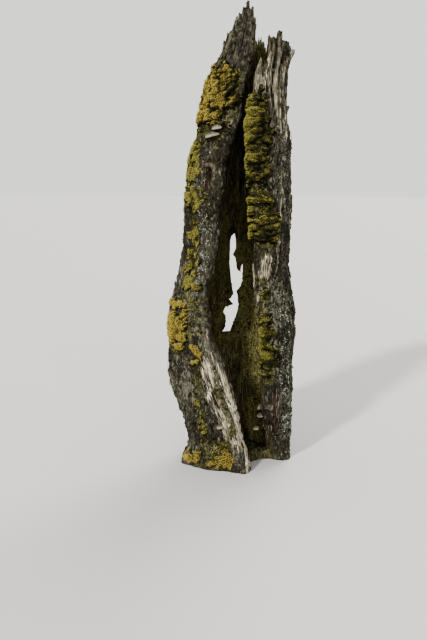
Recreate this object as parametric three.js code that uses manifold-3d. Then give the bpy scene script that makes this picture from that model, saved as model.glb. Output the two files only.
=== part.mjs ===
// A standing dead tree: the hollow, weathered trunk of an old conifer, broken off at 5.9 m.
//
// Rot has eaten the heart away. What stands is a thick curved wall of outer wood, open at the
// front from the ground to the tip. It is made as three walls: the left shell, which carries the
// tallest tip and the front buttress root, the back wall with a ragged hole right through it, and
// the right shell, which ends in a row of splinters. Moss, bracket fungi, branch stubs, burls and
// bark slivers sit on the walls, each a solid of its own.
//
// Millimetres, +Z up. The open side faces -Y, and +X is to its right. The origin is on the flat
// cut at ground level. An angle on the trunk is counted in degrees round +Z: 0 is the back,
// 90 the right side, 180 or -180 the front, and -90 the left side.

import * as THREE from 'three';
import { mergeVertices } from 'three/addons/utils/BufferGeometryUtils.js';
import Module from 'manifold-3d';

const wasm = await Module();
wasm.setup();

// Driving dimensions
const TRUNK_HEIGHT = 5900;
const CLEARANCE = 0.4; // between a piece and the wood that it sits on
const SEAM_GAP = 0.5; // between two walls of the trunk
const LEFT_SEAM = -64; // angle where the left shell meets the back wall
const RIGHT_SEAM = 64; // angle where the right shell meets the back wall

// Outline of the trunk seen from the front: height, left edge, right edge.
const OUTLINE = [
  [0, -730, 720], [120, -665, 705], [250, -640, 700], [500, -690, 695], [750, -730, 700],
  [1000, -800, 708], [1250, -825, 712], [1500, -860, 725], [1750, -870, 740], [2000, -857, 720],
  [2250, -820, 682], [2500, -748, 650], [2750, -692, 638], [3000, -655, 655], [3500, -640, 660],
  [4000, -590, 652], [4250, -500, 655], [4500, -448, 620], [4750, -390, 592], [5000, -310, 597],
  [5250, -180, 625], [5500, -95, 590], [5750, -15, 555], [5900, 20, 530],
];
// Depth of the trunk as a share of its width, and how far its middle lies behind the origin.
const DEPTH_SHARE = [[0, 0.83], [1000, 0.84], [2500, 0.9], [4000, 0.88], [5900, 0.86]];
const MIDDLE_DEPTH = [[0, 0], [1500, 25], [3500, 30], [5900, -10]];

// The lips, where the walls end at the opening: height, distance to the right of the origin.
const LEFT_LIP = [
  [0, 190], [250, 142], [500, 70], [750, 16], [1000, -37], [1250, -108], [1500, -192],
  [1750, -319], [2000, -379], [2250, -400], [2500, -365], [2750, -312], [3000, -269],
  [3500, -214], [4000, -148], [4250, -70], [4500, 20], [4750, 54], [5000, 112], [5250, 170],
  [5500, 203], [5900, 235],
];
const RIGHT_LIP = [
  [0, 600], [250, 570], [500, 483], [750, 422], [1000, 418], [1250, 396], [1500, 385],
  [1750, 358], [2000, 324], [2250, 284], [2750, 274], [3000, 244], [3500, 185], [3750, 160],
  [4250, 151], [4500, 145], [4750, 178], [5000, 204], [5250, 245], [5900, 300],
];

// Thickness of the wall: height, at the back, at the lips.
const THICKNESS = [
  [0, 170, 250], [600, 150, 260], [1500, 130, 235], [2500, 120, 215], [3500, 115, 190],
  [4500, 100, 150], [5200, 80, 110], [5900, 60, 80],
];
const TIP_TAPER = 700; // over this much height a wall thins towards its broken top
const TIP_THICKNESS = 0.3; // share of the thickness left at the very top
const LEAST_THICKNESS = 0.3; // share of the thickness left where a groove in the bark runs deep
const LIP_ROUNDING = 0.6; // a lip rounds off over this share of the wall's thickness

// Broken tops, from the seam on one side of a wall to its other end, column by column.
const LEFT_TOP = [
  5300, 5390, 5330, 5470, 5500, 5580, 5630, 5700, 5755, 5820, 5870, TRUNK_HEIGHT, 5850, 5865,
  5835, 5825, 5780, 5620,
];
const BACK_TOP = [
  5300, 5180, 5240, 5150, 5330, 5420, 5585, 5560, 5400, 5585, 5540, 5635, 5560,
];
const RIGHT_TOP = [
  5560, 5365, 5510, 5260, 5330, 5190, 5245, 5150, 5175, 5255, 5180, 5265, 5200, 5110,
];
const FOOT_ROWS = [0, 60, 150, 270];
const LEVEL_ROWS = { from: 440, to: 4440, step: 200 };
const TOP_ROWS = 7; // rows between the last level row and the broken top
const LIP_CROWDING = 1.3; // how much closer the columns stand at the lips

// Ridges and hollows that run up the trunk: rise, half width in degrees, and the path as height
// and angle.
const RIDGES = [
  {
    rise: 62,
    width: 12,
    path: [[0, -189], [400, -184], [750, -177], [1400, -163], [1900, -151], [3100, -150]],
  },
  { rise: 50, width: 9, path: [[470, -122], [700, -110], [900, -102], [1500, -96]] },
  { rise: 48, width: 9, path: [[0, -113], [250, -124], [600, -127], [1500, -132]] },
  { rise: -60, width: 8, path: [[520, -119], [750, -116], [1150, -113], [1600, -112]] },
  { rise: -50, width: 12, path: [[0, -88], [450, -96], [800, -84], [1200, -80]] },
  { rise: 34, width: 13, path: [[0, -60], [600, -58], [1500, -60]] },
  { rise: 42, width: 13, path: [[0, -24], [700, -22], [1700, -18]] },
  { rise: 46, width: 13, path: [[0, 34], [600, 30], [1500, 34]] },
  { rise: 26, width: 12, path: [[0, 96], [500, 104], [1300, 112], [2600, 118]] },
  { rise: 24, width: 11, path: [[2300, -112], [3200, -104], [4300, -112], [5300, -124]] },
  { rise: -22, width: 9, path: [[2500, -128], [3300, -124], [4300, -134]] },
  { rise: 24, width: 11, path: [[1800, 92], [3000, 84], [4400, 92]] },
  { rise: -26, width: 8, path: [[1500, 126], [2600, 130], [3600, 128], [4700, 132]] },
  { rise: 26, width: 14, path: [[2600, 8], [3600, 14], [4800, 6]] },
];
const RIDGE_FADE = 260; // height over which a ridge dies out at its ends
const STRIP_ROOT = 8; // how deep the foot of a bark strip is drawn into the wood

// The rotten heart in the foot of the hollow. It reaches under the bark of the wall, and short of
// that on the open side; rings and spokes are the steps of its lumpy top.
const FLOOR = { height: 95, underWall: 90, open: 0.55, rings: 3, spokes: 20 };

// The ragged hole through the back wall, as seen from the front: right edge from its top down,
// then the left edge upwards. Each point is distance to the right and height.
const HOLE_EDGE = [
  [-10, 3000], [10, 2900], [5, 2765], [-30, 2710], [5, 2680], [15, 2545], [65, 2475], [75, 2545],
  [95, 2590], [105, 2530], [100, 2340], [75, 2270], [20, 2200], [40, 2115], [50, 2030], [40, 1925],
  [15, 1850], [-30, 1730], [-65, 1640], [-90, 1595], [-175, 1595], [-180, 1640], [-135, 1695],
  [-150, 1750], [-195, 1820], [-175, 1890], [-140, 1975], [-40, 2020], [-95, 2090], [-30, 2160],
  [-55, 2270], [-75, 2490], [-85, 2600], [-80, 2830], [-65, 2955],
];
const HOLE_DEPTH = { middle: 500, from: 250, to: 950 };
const HOLE_SLOPE = { across: 0.021, down: 0.158 }; // it runs down and a little right to the back

// The knot hole high on the left shell.
const KNOT = { angle: -143, height: 3830, width: 130, tall: 190, deep: 80, rim: 40, rimDeep: 150 };

// Branch stubs: wall, angle, height, and the stub's own sizes with its tilt in degrees.
const STUBS = [
  ['stub_low_left', 'left', -90, 1135, { root: 90, tip: 50, length: 190, lift: 12 }],
  ['stub_upper_left', 'left', -94, 3395, { root: 60, tip: 30, length: 110, lift: 18 }],
  ['stub_back', 'back', 26, 3050, { root: 110, tip: 70, length: 260, lift: 16 }],
];
const STUB_WAVE = 0.12; // how far a stub's section is from round, as a share of its radius

// Burls: wall, angle, height, and size across, out of and up the wall.
const BURLS = [
  ['burl_slit_left', 'hollow', -15, 1790, [210, 150, 240]],
  ['burl_slit_low', 'hollow', -19, 1960, [150, 120, 130]],
  ['burl_slit_top', 'hollow', -14, 3130, [170, 130, 260]],
  ['burl_slit_foot', 'hollow', -2, 1520, [260, 150, 170]],
  ['burl_left_flank', 'left', -84, 2030, [190, 110, 300]],
  ['burl_right_flank', 'right', 88, 1690, [150, 80, 240]],
];
const BURL_SUNK = 0.12; // share of its depth that a burl's middle lies in the wood

// Bracket fungi, in the same way, and the half section that they all have: shares of the half
// width and of the height, from under the middle round the edge to the top.
const BRACKETS = [
  ['bracket_high', 'left', -143, 4385, [150, 105, 70]],
  ['bracket_high_low', 'left', -137, 4290, [190, 120, 75]],
  ['bracket_left_side', 'left', -91, 1040, [120, 95, 75]],
  ['bracket_buttress', 'left', -163, 610, [110, 80, 60]],
  ['bracket_right_side', 'right', 91, 1255, [80, 60, 50]],
  ['bracket_inside_1', 'hollow', 40, 600, [110, 90, 70]],
  ['bracket_inside_2', 'hollow', 41, 490, [130, 100, 55]],
  ['bracket_inside_3', 'hollow', 33, 300, [90, 80, 45]],
  ['bracket_inside_4', 'hollow', 55, 375, [80, 70, 50]],
];
const BRACKET_SECTION = [
  [0, -0.3], [0.62, -0.24], [0.94, -0.34], [1, -0.12], [0.86, 0.2], [0.5, 0.5], [0, 0.62],
];
const BRACKET_SUNK = 0.08;

// Slivers of bark and wood: rows of height, angle from, angle to, with the thickness at the foot
// and how far the top has curled off the wall.
const SLIVERS = [
  {
    name: 'bark_sliver_tip',
    wall: 'left',
    rows: [[5060, -94, -104], [5350, -101, -112], [5600, -109, -117], [5715, -114, -117]],
    thick: 22,
    lift: 26,
  },
  {
    name: 'bark_sliver_shoulder',
    wall: 'left',
    rows: [[4960, -78, -90], [5200, -82, -92], [5420, -89, -92]],
    thick: 20,
    lift: 34,
  },
  {
    name: 'curled_splinter',
    wall: 'right',
    rows: [[5080, 84, 95], [5200, 85, 94], [5330, 87, 92]],
    thick: 26,
    lift: 75,
  },
  {
    name: 'front_splinter',
    wall: 'right',
    rows: [[4900, 150, 160], [5100, 152, 160], [5290, 155, 157]],
    thick: 24,
    lift: 16,
  },
  {
    name: 'bark_curl_right',
    wall: 'right',
    rows: [[4440, 84, 100], [4540, 86, 100], [4650, 90, 97]],
    thick: 30,
    lift: 55,
  },
  {
    name: 'bark_flake_right',
    wall: 'right',
    rows: [[2700, 76, 90], [3100, 78, 92], [3550, 82, 88]],
    thick: 26,
    lift: 20,
  },
  {
    name: 'bark_flake_low',
    wall: 'right',
    rows: [[1150, 92, 104], [1500, 92, 106], [1820, 96, 103]],
    thick: 24,
    lift: 18,
  },
  {
    name: 'bark_flake_back',
    wall: 'left',
    rows: [[1900, -76, -68], [2400, -80, -68], [2850, -76, -70]],
    thick: 26,
    lift: 16,
  },
  {
    name: 'lip_splinter',
    wall: 'right',
    rows: [[2050, 150, 157], [2400, 151, 159], [2700, 153, 156]],
    thick: 22,
    lift: 30,
  },
];

// Moss cushions: rows of height, angle from, angle to, with the rise of the humps and, where it
// differs from 5 by 6, the number of steps across and up.
const MOSS = [
  {
    name: 'moss_crown',
    wall: 'left',
    rows: [[4330, -112, -150], [4480, -84, -166], [4750, -74, -170], [5000, -78, -163],
      [5190, -94, -128]],
    rise: 40,
    colour: 'goldMoss',
    across: 7,
    up: 8,
  },
  {
    name: 'moss_shoulder',
    wall: 'left',
    rows: [[3300, -112, -128], [3550, -92, -146], [3900, -86, -136], [4060, -84, -132],
      [4290, -92, -126]],
    rise: 30,
    colour: 'moss',
  },
  {
    name: 'moss_band_left',
    wall: 'left',
    rows: [[2290, -122, -148], [2600, -116, -146], [3000, -111, -138], [3260, -110, -128]],
    rise: 26,
    colour: 'moss',
  },
  {
    name: 'moss_gold_patch',
    wall: 'left',
    rows: [[1560, -101, -128], [1740, -90, -138], [2000, -92, -138], [2250, -104, -134]],
    rise: 38,
    colour: 'goldMoss',
  },
  {
    name: 'moss_below_gold',
    wall: 'left',
    rows: [[1400, -140, -150], [1480, -134, -156], [1640, -134, -156], [1720, -140, -152]],
    rise: 26,
    colour: 'goldMoss',
    up: 5,
  },
  {
    name: 'moss_streak_low',
    wall: 'left',
    rows: [[420, -140, -148], [640, -134, -148], [820, -134, -146], [1010, -138, -144]],
    rise: 20,
    colour: 'moss',
    across: 4,
    up: 8,
  },
  {
    name: 'moss_foot_left',
    wall: 'left',
    rows: [[0, -92, -138], [90, -94, -140], [240, -112, -134]],
    rise: 26,
    colour: 'goldMoss',
    across: 6,
    up: 5,
  },
  {
    name: 'moss_foot_front',
    wall: 'left',
    rows: [[0, -143, -186], [100, -144, -184], [260, -150, -172], [330, -156, -166]],
    rise: 30,
    colour: 'goldMoss',
    across: 7,
  },
  {
    name: 'moss_lip_top',
    wall: 'right',
    rows: [[3640, 146, 174], [3900, 143, 178], [4300, 140, 182], [4640, 148, 180],
      [4900, 156, 168]],
    rise: 34,
    colour: 'moss',
    across: 4,
    up: 9,
  },
  {
    name: 'moss_lip_middle',
    wall: 'right',
    rows: [[2900, 134, 152], [3100, 126, 164], [3330, 128, 170], [3590, 144, 168]],
    rise: 42,
    colour: 'moss',
  },
  {
    name: 'moss_lip_patch',
    wall: 'right',
    rows: [[2220, 140, 147], [2320, 137, 150], [2420, 141, 148]],
    rise: 18,
    colour: 'darkMoss',
    across: 4,
    up: 4,
  },
  {
    name: 'moss_lip_low',
    wall: 'right',
    rows: [[1180, 132, 142], [1400, 128, 146], [1750, 132, 149], [2080, 140, 148]],
    rise: 24,
    colour: 'darkMoss',
    across: 4,
    up: 7,
  },
];
const MOSS_ROOT = 14; // how deep a moss cushion is drawn into the wood before it is cut clear
const MOSS_EDGE_FALL = 0.35; // how much lower the humps are towards each rim, as a share
const MOSS_WAVE = 0.3; // how much the humps differ, as a share of their rise
const GROUND_CLEARANCE = 3; // height of the lowest moss above the ground

const COLOURS = {
  bark: 0x6b6459,
  silverWood: 0x98917f,
  rot: 0x4c3b2a,
  moss: 0x9c8a2c,
  goldMoss: 0xc09a2e,
  darkMoss: 0x5f6425,
  fungus: 0xb9ad98,
};

const tree = new THREE.Group();

// Small helpers

const radians = (degrees) => degrees * Math.PI / 180;
const clamp = (value, low, high) => Math.min(high, Math.max(low, value));

/** Smooth value at a height, from a list of stations whose first entry is the height. */
function along(stations, height, column = 1) {
  const last = stations.length - 1;
  let i = 0;
  while (i < last - 1 && height > stations[i + 1][0]) i += 1;
  const [below, above] = [stations[i], stations[i + 1]];
  const before = stations[Math.max(i - 1, 0)];
  const after = stations[Math.min(i + 2, last)];
  const span = above[0] - below[0];
  const t = clamp((height - below[0]) / span, 0, 1);
  const slope = (p, q) => (q[0] > p[0] ? (q[column] - p[column]) / (q[0] - p[0]) : 0);
  const start = slope(before, above) * span;
  const end = slope(below, after) * span;
  const t2 = t * t;
  const t3 = t2 * t;
  return (2 * t3 - 3 * t2 + 1) * below[column] + (t3 - 2 * t2 + t) * start
    + (3 * t2 - 2 * t3) * above[column] + (t3 - t2) * end;
}

/** A closed geometry as a solid for cutting and joining, with its faces turned outwards. */
function solidOf(geometry) {
  const bare = geometry.clone();
  bare.deleteAttribute('normal');
  bare.deleteAttribute('uv');
  const merged = mergeVertices(bare, 1e-4);
  const vertProperties = Float32Array.from(merged.attributes.position.array);
  const triVerts = Uint32Array.from(merged.index.array);
  let volume = 0;
  const [a, b, c] = [new THREE.Vector3(), new THREE.Vector3(), new THREE.Vector3()];
  for (let t = 0; t < triVerts.length; t += 3) {
    a.fromArray(vertProperties, 3 * triVerts[t]);
    b.fromArray(vertProperties, 3 * triVerts[t + 1]);
    c.fromArray(vertProperties, 3 * triVerts[t + 2]);
    volume += a.dot(b.cross(c));
  }
  if (volume < 0) {
    for (let t = 0; t < triVerts.length; t += 3) {
      [triVerts[t + 1], triVerts[t + 2]] = [triVerts[t + 2], triVerts[t + 1]];
    }
  }
  return new wasm.Manifold(new wasm.Mesh({ numProp: 3, vertProperties, triVerts }));
}

/** A solid as a geometry. Loose scraps that a cut leaves are dropped. */
function geometryOf(solid) {
  const pieces = solid.decompose();
  const largest = pieces.reduce((best, piece) => (piece.volume() > best.volume() ? piece : best));
  const mesh = largest.getMesh();
  const positions = [];
  for (let i = 0; i < mesh.vertProperties.length; i += mesh.numProp) {
    positions.push(...mesh.vertProperties.slice(i, i + 3));
  }
  const geometry = new THREE.BufferGeometry();
  geometry.setAttribute('position', new THREE.Float32BufferAttribute(positions, 3));
  geometry.setIndex(Array.from(mesh.triVerts));
  geometry.computeVertexNormals();
  return geometry;
}

/**
 * The same solid grown by a clearance all over, to cut its neighbours with. Each corner moves so
 * far that every face at it moves out by the clearance, less at a corner sharper than the least
 * slant. Faces that point nearly the same way count once.
 */
function grown(solid, clearance = CLEARANCE) {
  const smallestFace = 1e-3;
  const sameWay = 0.999;
  const leastSlant = 0.35;
  const geometry = geometryOf(solid);
  const position = geometry.attributes.position;
  const corners = geometry.index.array;
  const faces = Array.from({ length: position.count }, () => []);
  const triangle = new THREE.Triangle();
  for (let t = 0; t < corners.length; t += 3) {
    triangle.setFromAttributeAndIndices(position, corners[t], corners[t + 1], corners[t + 2]);
    if (triangle.getArea() < smallestFace) continue;
    const normal = triangle.getNormal(new THREE.Vector3());
    for (let k = 0; k < 3; k += 1) {
      const known = faces[corners[t + k]];
      if (known.every((other) => other.dot(normal) < sameWay)) known.push(normal);
    }
  }
  for (let i = 0; i < position.count; i += 1) {
    if (faces[i].length === 0) continue;
    const out = faces[i].reduce((sum, normal) => sum.add(normal), new THREE.Vector3()).normalize();
    const slant = Math.min(...faces[i].map((normal) => normal.dot(out)));
    const corner = new THREE.Vector3().fromBufferAttribute(position, i);
    corner.addScaledVector(out, clearance / Math.max(slant, leastSlant));
    position.setXYZ(i, corner.x, corner.y, corner.z);
  }
  return solidOf(geometry);
}

/** Adds one named piece to the tree. */
function add(name, solid, colour, roughness = 0.9) {
  const material = new THREE.MeshStandardMaterial({ color: colour, roughness, metalness: 0 });
  const mesh = new THREE.Mesh(geometryOf(solid), material);
  mesh.name = name;
  tree.add(mesh);
}

// The form of the trunk

const middleX = (z) => (along(OUTLINE, z, 1) + along(OUTLINE, z, 2)) / 2;
const halfWidth = (z) => (along(OUTLINE, z, 2) - along(OUTLINE, z, 1)) / 2;
const middleY = (z) => along(MIDDLE_DEPTH, z);
const halfDepth = (z) => halfWidth(z) * along(DEPTH_SHARE, z);

/** How far the bark stands out from the plain oval at an angle and a height. */
function relief(angle, z) {
  let rise = 0;
  for (const ridge of RIDGES) {
    const low = ridge.path[0][0];
    const high = ridge.path[ridge.path.length - 1][0];
    const foot = low === 0 ? 1 : clamp((z - low) / RIDGE_FADE, 0, 1);
    const head = clamp((high - z) / RIDGE_FADE, 0, 1);
    const off = (angle - along(ridge.path, z)) / ridge.width;
    rise += ridge.rise * foot * head * Math.exp(-off * off);
  }
  const turn = radians(angle);
  const climb = z / 1000;
  return rise + 9 * Math.sin(7 * turn + 1.3 * climb) + 7 * Math.sin(12 * turn - 0.9 * climb + 2)
    + 6 * Math.sin(3 * turn + 4.1 * climb);
}

/** How far the rotted inner face bulges into the hollow. */
function rotRelief(angle, z) {
  const turn = radians(angle);
  const climb = z / 1000;
  return 12 * Math.sin(9 * turn + 2.2 * climb) + 10 * Math.sin(5 * turn - 3.1 * climb)
    + 7 * Math.sin(14 * turn + 5.3 * climb);
}

/** A point on the trunk, a given depth under the bark. */
function trunkPoint(angle, z, depth) {
  const turn = radians(angle);
  const stand = relief(angle, z) - depth;
  return new THREE.Vector3(
    middleX(z) + (halfWidth(z) + stand) * Math.sin(turn),
    middleY(z) + (halfDepth(z) + stand) * Math.cos(turn),
    z,
  );
}

/** Depth of the inner face under the bark; lipness is 0 at the back and 1 at a lip. */
function innerDepth(angle, z, lipness, top) {
  const back = along(THICKNESS, z, 1);
  const lip = along(THICKNESS, z, 2);
  const taper = clamp((top - z) / TIP_TAPER, 0, 1);
  const thickness = (back + (lip - back) * lipness) * (TIP_THICKNESS + (1 - TIP_THICKNESS) * taper);
  const free = relief(angle, z) - rotRelief(angle, z) * taper;
  return Math.max(thickness + free * taper, LEAST_THICKNESS * thickness);
}

/**
 * Angle of a lip at a height, on the left (side -1) or on the right (side 1). The lip is as far to
 * the right as its table says where its round edge shows most, a third of the way into the wall.
 */
function lipAngle(side, z) {
  const across = along(side < 0 ? LEFT_LIP : RIGHT_LIP, z);
  const reach = halfWidth(z) - along(THICKNESS, z, 2) / 3;
  const swing = Math.asin(clamp((across - middleX(z)) / reach, -1, 1)) * 180 / Math.PI;
  return side * 180 - swing;
}

const SHELLS = {
  left: { side: -1, seam: LEFT_SEAM, top: LEFT_TOP },
  right: { side: 1, seam: RIGHT_SEAM, top: RIGHT_TOP },
};

/** Height of the broken top of a shell, share being 1 at the seam and 0 at the lip. */
function shellTop(shell, share) {
  const place = (1 - Math.abs(share) ** (1 / LIP_CROWDING)) * (shell.top.length - 1);
  const i = clamp(Math.floor(place), 0, shell.top.length - 2);
  return shell.top[i] + (shell.top[i + 1] - shell.top[i]) * (place - i);
}

/**
 * A point on the skin of a shell. An angle short of the lip is on the bark, and one past the lip
 * is as far back on the rotted inside. The lip itself is round.
 */
function shellPoint(shell, angle, z) {
  const lip = lipAngle(shell.side, z);
  const past = (angle - lip) * shell.side;
  const place = past > 0 ? 2 * lip - angle : angle;
  const share = clamp(Math.abs(past) / Math.abs(lip - shell.seam), 0, 1);
  const inner = innerDepth(place, z, 1 - share, shellTop(shell, share));
  const arc = radians(Math.abs(past)) * halfWidth(z);
  const q = clamp(arc / (LIP_ROUNDING * inner), 0, 1);
  const half = Math.sqrt(1 - (1 - q) ** 2) * inner / 2;
  return trunkPoint(place, z, past > 0 ? inner / 2 + half : inner / 2 - half);
}

/** The direction in which a skin faces, from points a small turn and a small rise away. */
function skinNormal(skin, angle, z) {
  const turn = 1.5;
  const rise = 25;
  const round = skin.at(angle + turn, z).sub(skin.at(angle - turn, z));
  const up = skin.at(angle, z + rise).sub(skin.at(angle, Math.max(z - rise, 0)));
  return up.cross(round).normalize().multiplyScalar(skin.facing);
}

// Walls

const levelRows = [...FOOT_ROWS];
for (let z = LEVEL_ROWS.from; z <= LEVEL_ROWS.to; z += LEVEL_ROWS.step) levelRows.push(z);
const shoulder = levelRows[levelRows.length - 1];

/** Heights of the rows of a column: level ones, then ones spread up to its broken top. */
function rowHeights(top) {
  const heights = [...levelRows];
  for (let k = 1; k <= TOP_ROWS; k += 1) heights.push(shoulder + (top - shoulder) * k / TOP_ROWS);
  return heights;
}

/** A closed solid from columns of points round a section, the first half facing the second. */
function wallSolid(columns) {
  const count = columns.length;
  const rows = columns[0].length;
  const positions = columns.flatMap((column) => column.flatMap((point) => point.toArray()));
  const at = (column, row) => (column % count) * rows + row;
  const index = [];
  const quad = (a, b, c, d) => index.push(a, b, c, a, c, d);
  for (let i = 0; i < count; i += 1) {
    for (let j = 0; j < rows - 1; j += 1) {
      quad(at(i, j), at(i + 1, j), at(i + 1, j + 1), at(i, j + 1));
    }
  }
  for (let i = 0; i < Math.floor(count / 2); i += 1) {
    const far = count - 1 - i;
    const ends = [[0, 1], [rows - 1, -1]];
    for (const [row, way] of ends) {
      const corners = [at(i, row), at(far, row), at(far - 1, row), at(i + 1, row)];
      const distinct = corners.filter((corner, k) => corners.indexOf(corner) === k);
      if (distinct.length < 3) continue;
      if (way < 0) distinct.reverse();
      index.push(distinct[0], distinct[1], distinct[2]);
      if (distinct.length === 4) index.push(distinct[0], distinct[2], distinct[3]);
    }
  }
  const geometry = new THREE.BufferGeometry();
  geometry.setAttribute('position', new THREE.Float32BufferAttribute(positions, 3));
  geometry.setIndex(index);
  return solidOf(geometry);
}

/** The left or right shell, from its seam round its lip and back along the inside. */
function shellSolid(shell) {
  const half = shell.top.length - 1;
  const columns = [];
  for (let i = -half; i <= half; i += 1) {
    const share = (Math.abs(i) / half) ** LIP_CROWDING;
    const top = shell.top[half - Math.abs(i)];
    columns.push(rowHeights(top).map((z) => {
      const lip = lipAngle(shell.side, z);
      const gap = SEAM_GAP / 2 / halfWidth(z) * 180 / Math.PI;
      const seam = shell.seam + shell.side * gap;
      return shellPoint(shell, lip + Math.sign(i) * shell.side * share * Math.abs(lip - seam), z);
    }));
  }
  return wallSolid(columns);
}

/** A point on the inner face of the back wall. */
function backInside(angle, z, top = TRUNK_HEIGHT) {
  return trunkPoint(angle, z, innerDepth(angle, z, 0, top));
}

/** The back wall, between the two seams. */
function backSolid() {
  const last = BACK_TOP.length - 1;
  const outside = [];
  const inside = [];
  for (let i = 0; i <= last; i += 1) {
    const top = BACK_TOP[i];
    const share = i / last;
    const angleAt = (z) => {
      const gap = SEAM_GAP / 2 / halfWidth(z) * 180 / Math.PI;
      return LEFT_SEAM + gap + (RIGHT_SEAM - LEFT_SEAM - 2 * gap) * share;
    };
    outside.push(rowHeights(top).map((z) => trunkPoint(angleAt(z), z, 0)));
    inside.unshift(rowHeights(top).map((z) => backInside(angleAt(z), z, top)));
  }
  return wallSolid([...outside, ...inside]);
}

/** The ragged hole: its edge run back through the wall along the slope of the hole. */
function holeCutter() {
  const shape = new THREE.Shape(HOLE_EDGE.map(([x, z]) => new THREE.Vector2(x, z)));
  const depth = HOLE_DEPTH.to - HOLE_DEPTH.from;
  const geometry = new THREE.ExtrudeGeometry(shape, { depth, bevelEnabled: false });
  const start = HOLE_DEPTH.from - HOLE_DEPTH.middle;
  geometry.applyMatrix4(new THREE.Matrix4().set(
    1, 0, HOLE_SLOPE.across, HOLE_SLOPE.across * start,
    0, 0, 1, HOLE_DEPTH.from,
    0, 1, -HOLE_SLOPE.down, -HOLE_SLOPE.down * start,
    0, 0, 0, 1,
  ));
  return solidOf(geometry);
}

// The faces that pieces sit on. Facing is 1 where a face looks away from the trunk's axis.
const SKINS = {
  left: { at: (angle, z) => shellPoint(SHELLS.left, angle, z), facing: 1 },
  right: { at: (angle, z) => shellPoint(SHELLS.right, angle, z), facing: 1 },
  hollow: { at: (angle, z) => backInside(angle, z), facing: -1 },
  back: { at: (angle, z) => trunkPoint(angle, z, 0), facing: 1 },
};

/** A ball stretched to a size across, out of and up its seat on a skin. */
function ballOn(skin, angle, z, [wide, deep, tall], sunk = 0) {
  const diameter = 1;
  const ball = new THREE.SphereGeometry(diameter / 2, 10, 7);
  ball.scale(wide, deep, tall);
  return seated(ball, skin, angle, z, sunk);
}

/** Moves a geometry to a skin, its +Y pointing out of the wood and its +Z up. */
function seated(geometry, skin, angle, z, sunk = 0, tilt = 0) {
  const out = skinNormal(skin, angle, z);
  out.z = 0;
  out.normalize();
  const up = new THREE.Vector3(0, 0, 1);
  const side = new THREE.Vector3().crossVectors(out, up);
  const place = skin.at(angle, z).addScaledVector(out, -sunk);
  geometry.rotateX(radians(tilt));
  geometry.applyMatrix4(new THREE.Matrix4().makeBasis(side, out, up).setPosition(place));
  return solidOf(geometry);
}

/**
 * A layer on a skin, from rows of height, angle from and angle to. The two functions give how far
 * its outer and inner faces stand off the skin at a share of its breadth and of its height.
 */
function layerSolid(skin, rows, { across, up }, outerRise, innerRise) {
  const low = rows[0][0];
  const high = rows[rows.length - 1][0];
  const faces = [outerRise, innerRise].map((rise) => {
    const points = [];
    for (let j = 0; j <= up; j += 1) {
      const z = low + (high - low) * j / up;
      for (let i = 0; i <= across; i += 1) {
        const angle = along(rows, z, 1) + (along(rows, z, 2) - along(rows, z, 1)) * i / across;
        const point = skin.at(angle, z).addScaledVector(skinNormal(skin, angle, z), rise(i, j));
        point.z = Math.max(point.z, GROUND_CLEARANCE);
        points.push(point);
      }
    }
    return points;
  });
  const inner = faces[0].length;
  const at = (i, j) => j * (across + 1) + i;
  const index = [];
  const quad = (a, b, c, d) => index.push(a, b, c, a, c, d);
  const side = (a, b) => quad(b, a, inner + a, inner + b);
  for (let j = 0; j < up; j += 1) {
    for (let i = 0; i < across; i += 1) {
      quad(at(i, j), at(i + 1, j), at(i + 1, j + 1), at(i, j + 1));
      quad(inner + at(i, j), inner + at(i, j + 1), inner + at(i + 1, j + 1), inner + at(i + 1, j));
    }
    side(at(0, j + 1), at(0, j));
    side(at(across, j), at(across, j + 1));
  }
  for (let i = 0; i < across; i += 1) {
    side(at(i, 0), at(i + 1, 0));
    side(at(i + 1, up), at(i, up));
  }
  const geometry = new THREE.BufferGeometry();
  const positions = faces.flat().flatMap((point) => point.toArray());
  geometry.setAttribute('position', new THREE.Float32BufferAttribute(positions, 3));
  geometry.setIndex(index);
  return solidOf(geometry);
}

/** A cushion of moss: humps that die into the bark at its rim. The seed shifts the humps. */
function mossSolid(skin, { rows, rise, across = 5, up = 6 }, seed) {
  const outer = (i, j) => {
    if (i === 0 || j === 0 || i === across || j === up) return -MOSS_ROOT / 3;
    const wave = Math.sin(5.1 * i + 2.3 * j + seed) * Math.cos(3.7 * j - 1.9 * i + seed);
    const fall = (2 * i / across - 1) ** 4 + (2 * j / up - 1) ** 4;
    return rise * (1 - MOSS_EDGE_FALL * fall + MOSS_WAVE * wave);
  };
  return layerSolid(skin, rows, { across, up }, outer, () => -MOSS_ROOT);
}

/**
 * A strip of bark or splinter of wood, rooted at its foot, whose top curls off the wood. It is
 * thinner at its two edges and thins to half towards its top.
 */
function stripSolid(skin, { rows, thick, lift }) {
  const grid = { across: 2, up: 6 };
  const edge = 0.7;
  const off = (j) => lift * (j / grid.up) ** 2 - STRIP_ROOT;
  const crown = (i) => (i === 1 ? 1 : edge);
  const outer = (i, j) => off(j) + STRIP_ROOT + thick * crown(i) * (1 - 0.5 * j / grid.up);
  return layerSolid(skin, rows, grid, outer, (i, j) => off(j));
}

/** A bracket fungus: a thick shelf, domed above and hollowed below, its root in the wood. */
function bracketSolid(skin, angle, z, [wide, deep, tall]) {
  const section = BRACKET_SECTION.map(([r, h]) => new THREE.Vector2(r, h));
  const shelf = new THREE.LatheGeometry(section, 12);
  shelf.rotateX(Math.PI / 2);
  shelf.scale(wide / 2, deep, tall);
  return seated(shelf, skin, angle, z, BRACKET_SUNK * deep);
}

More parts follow.
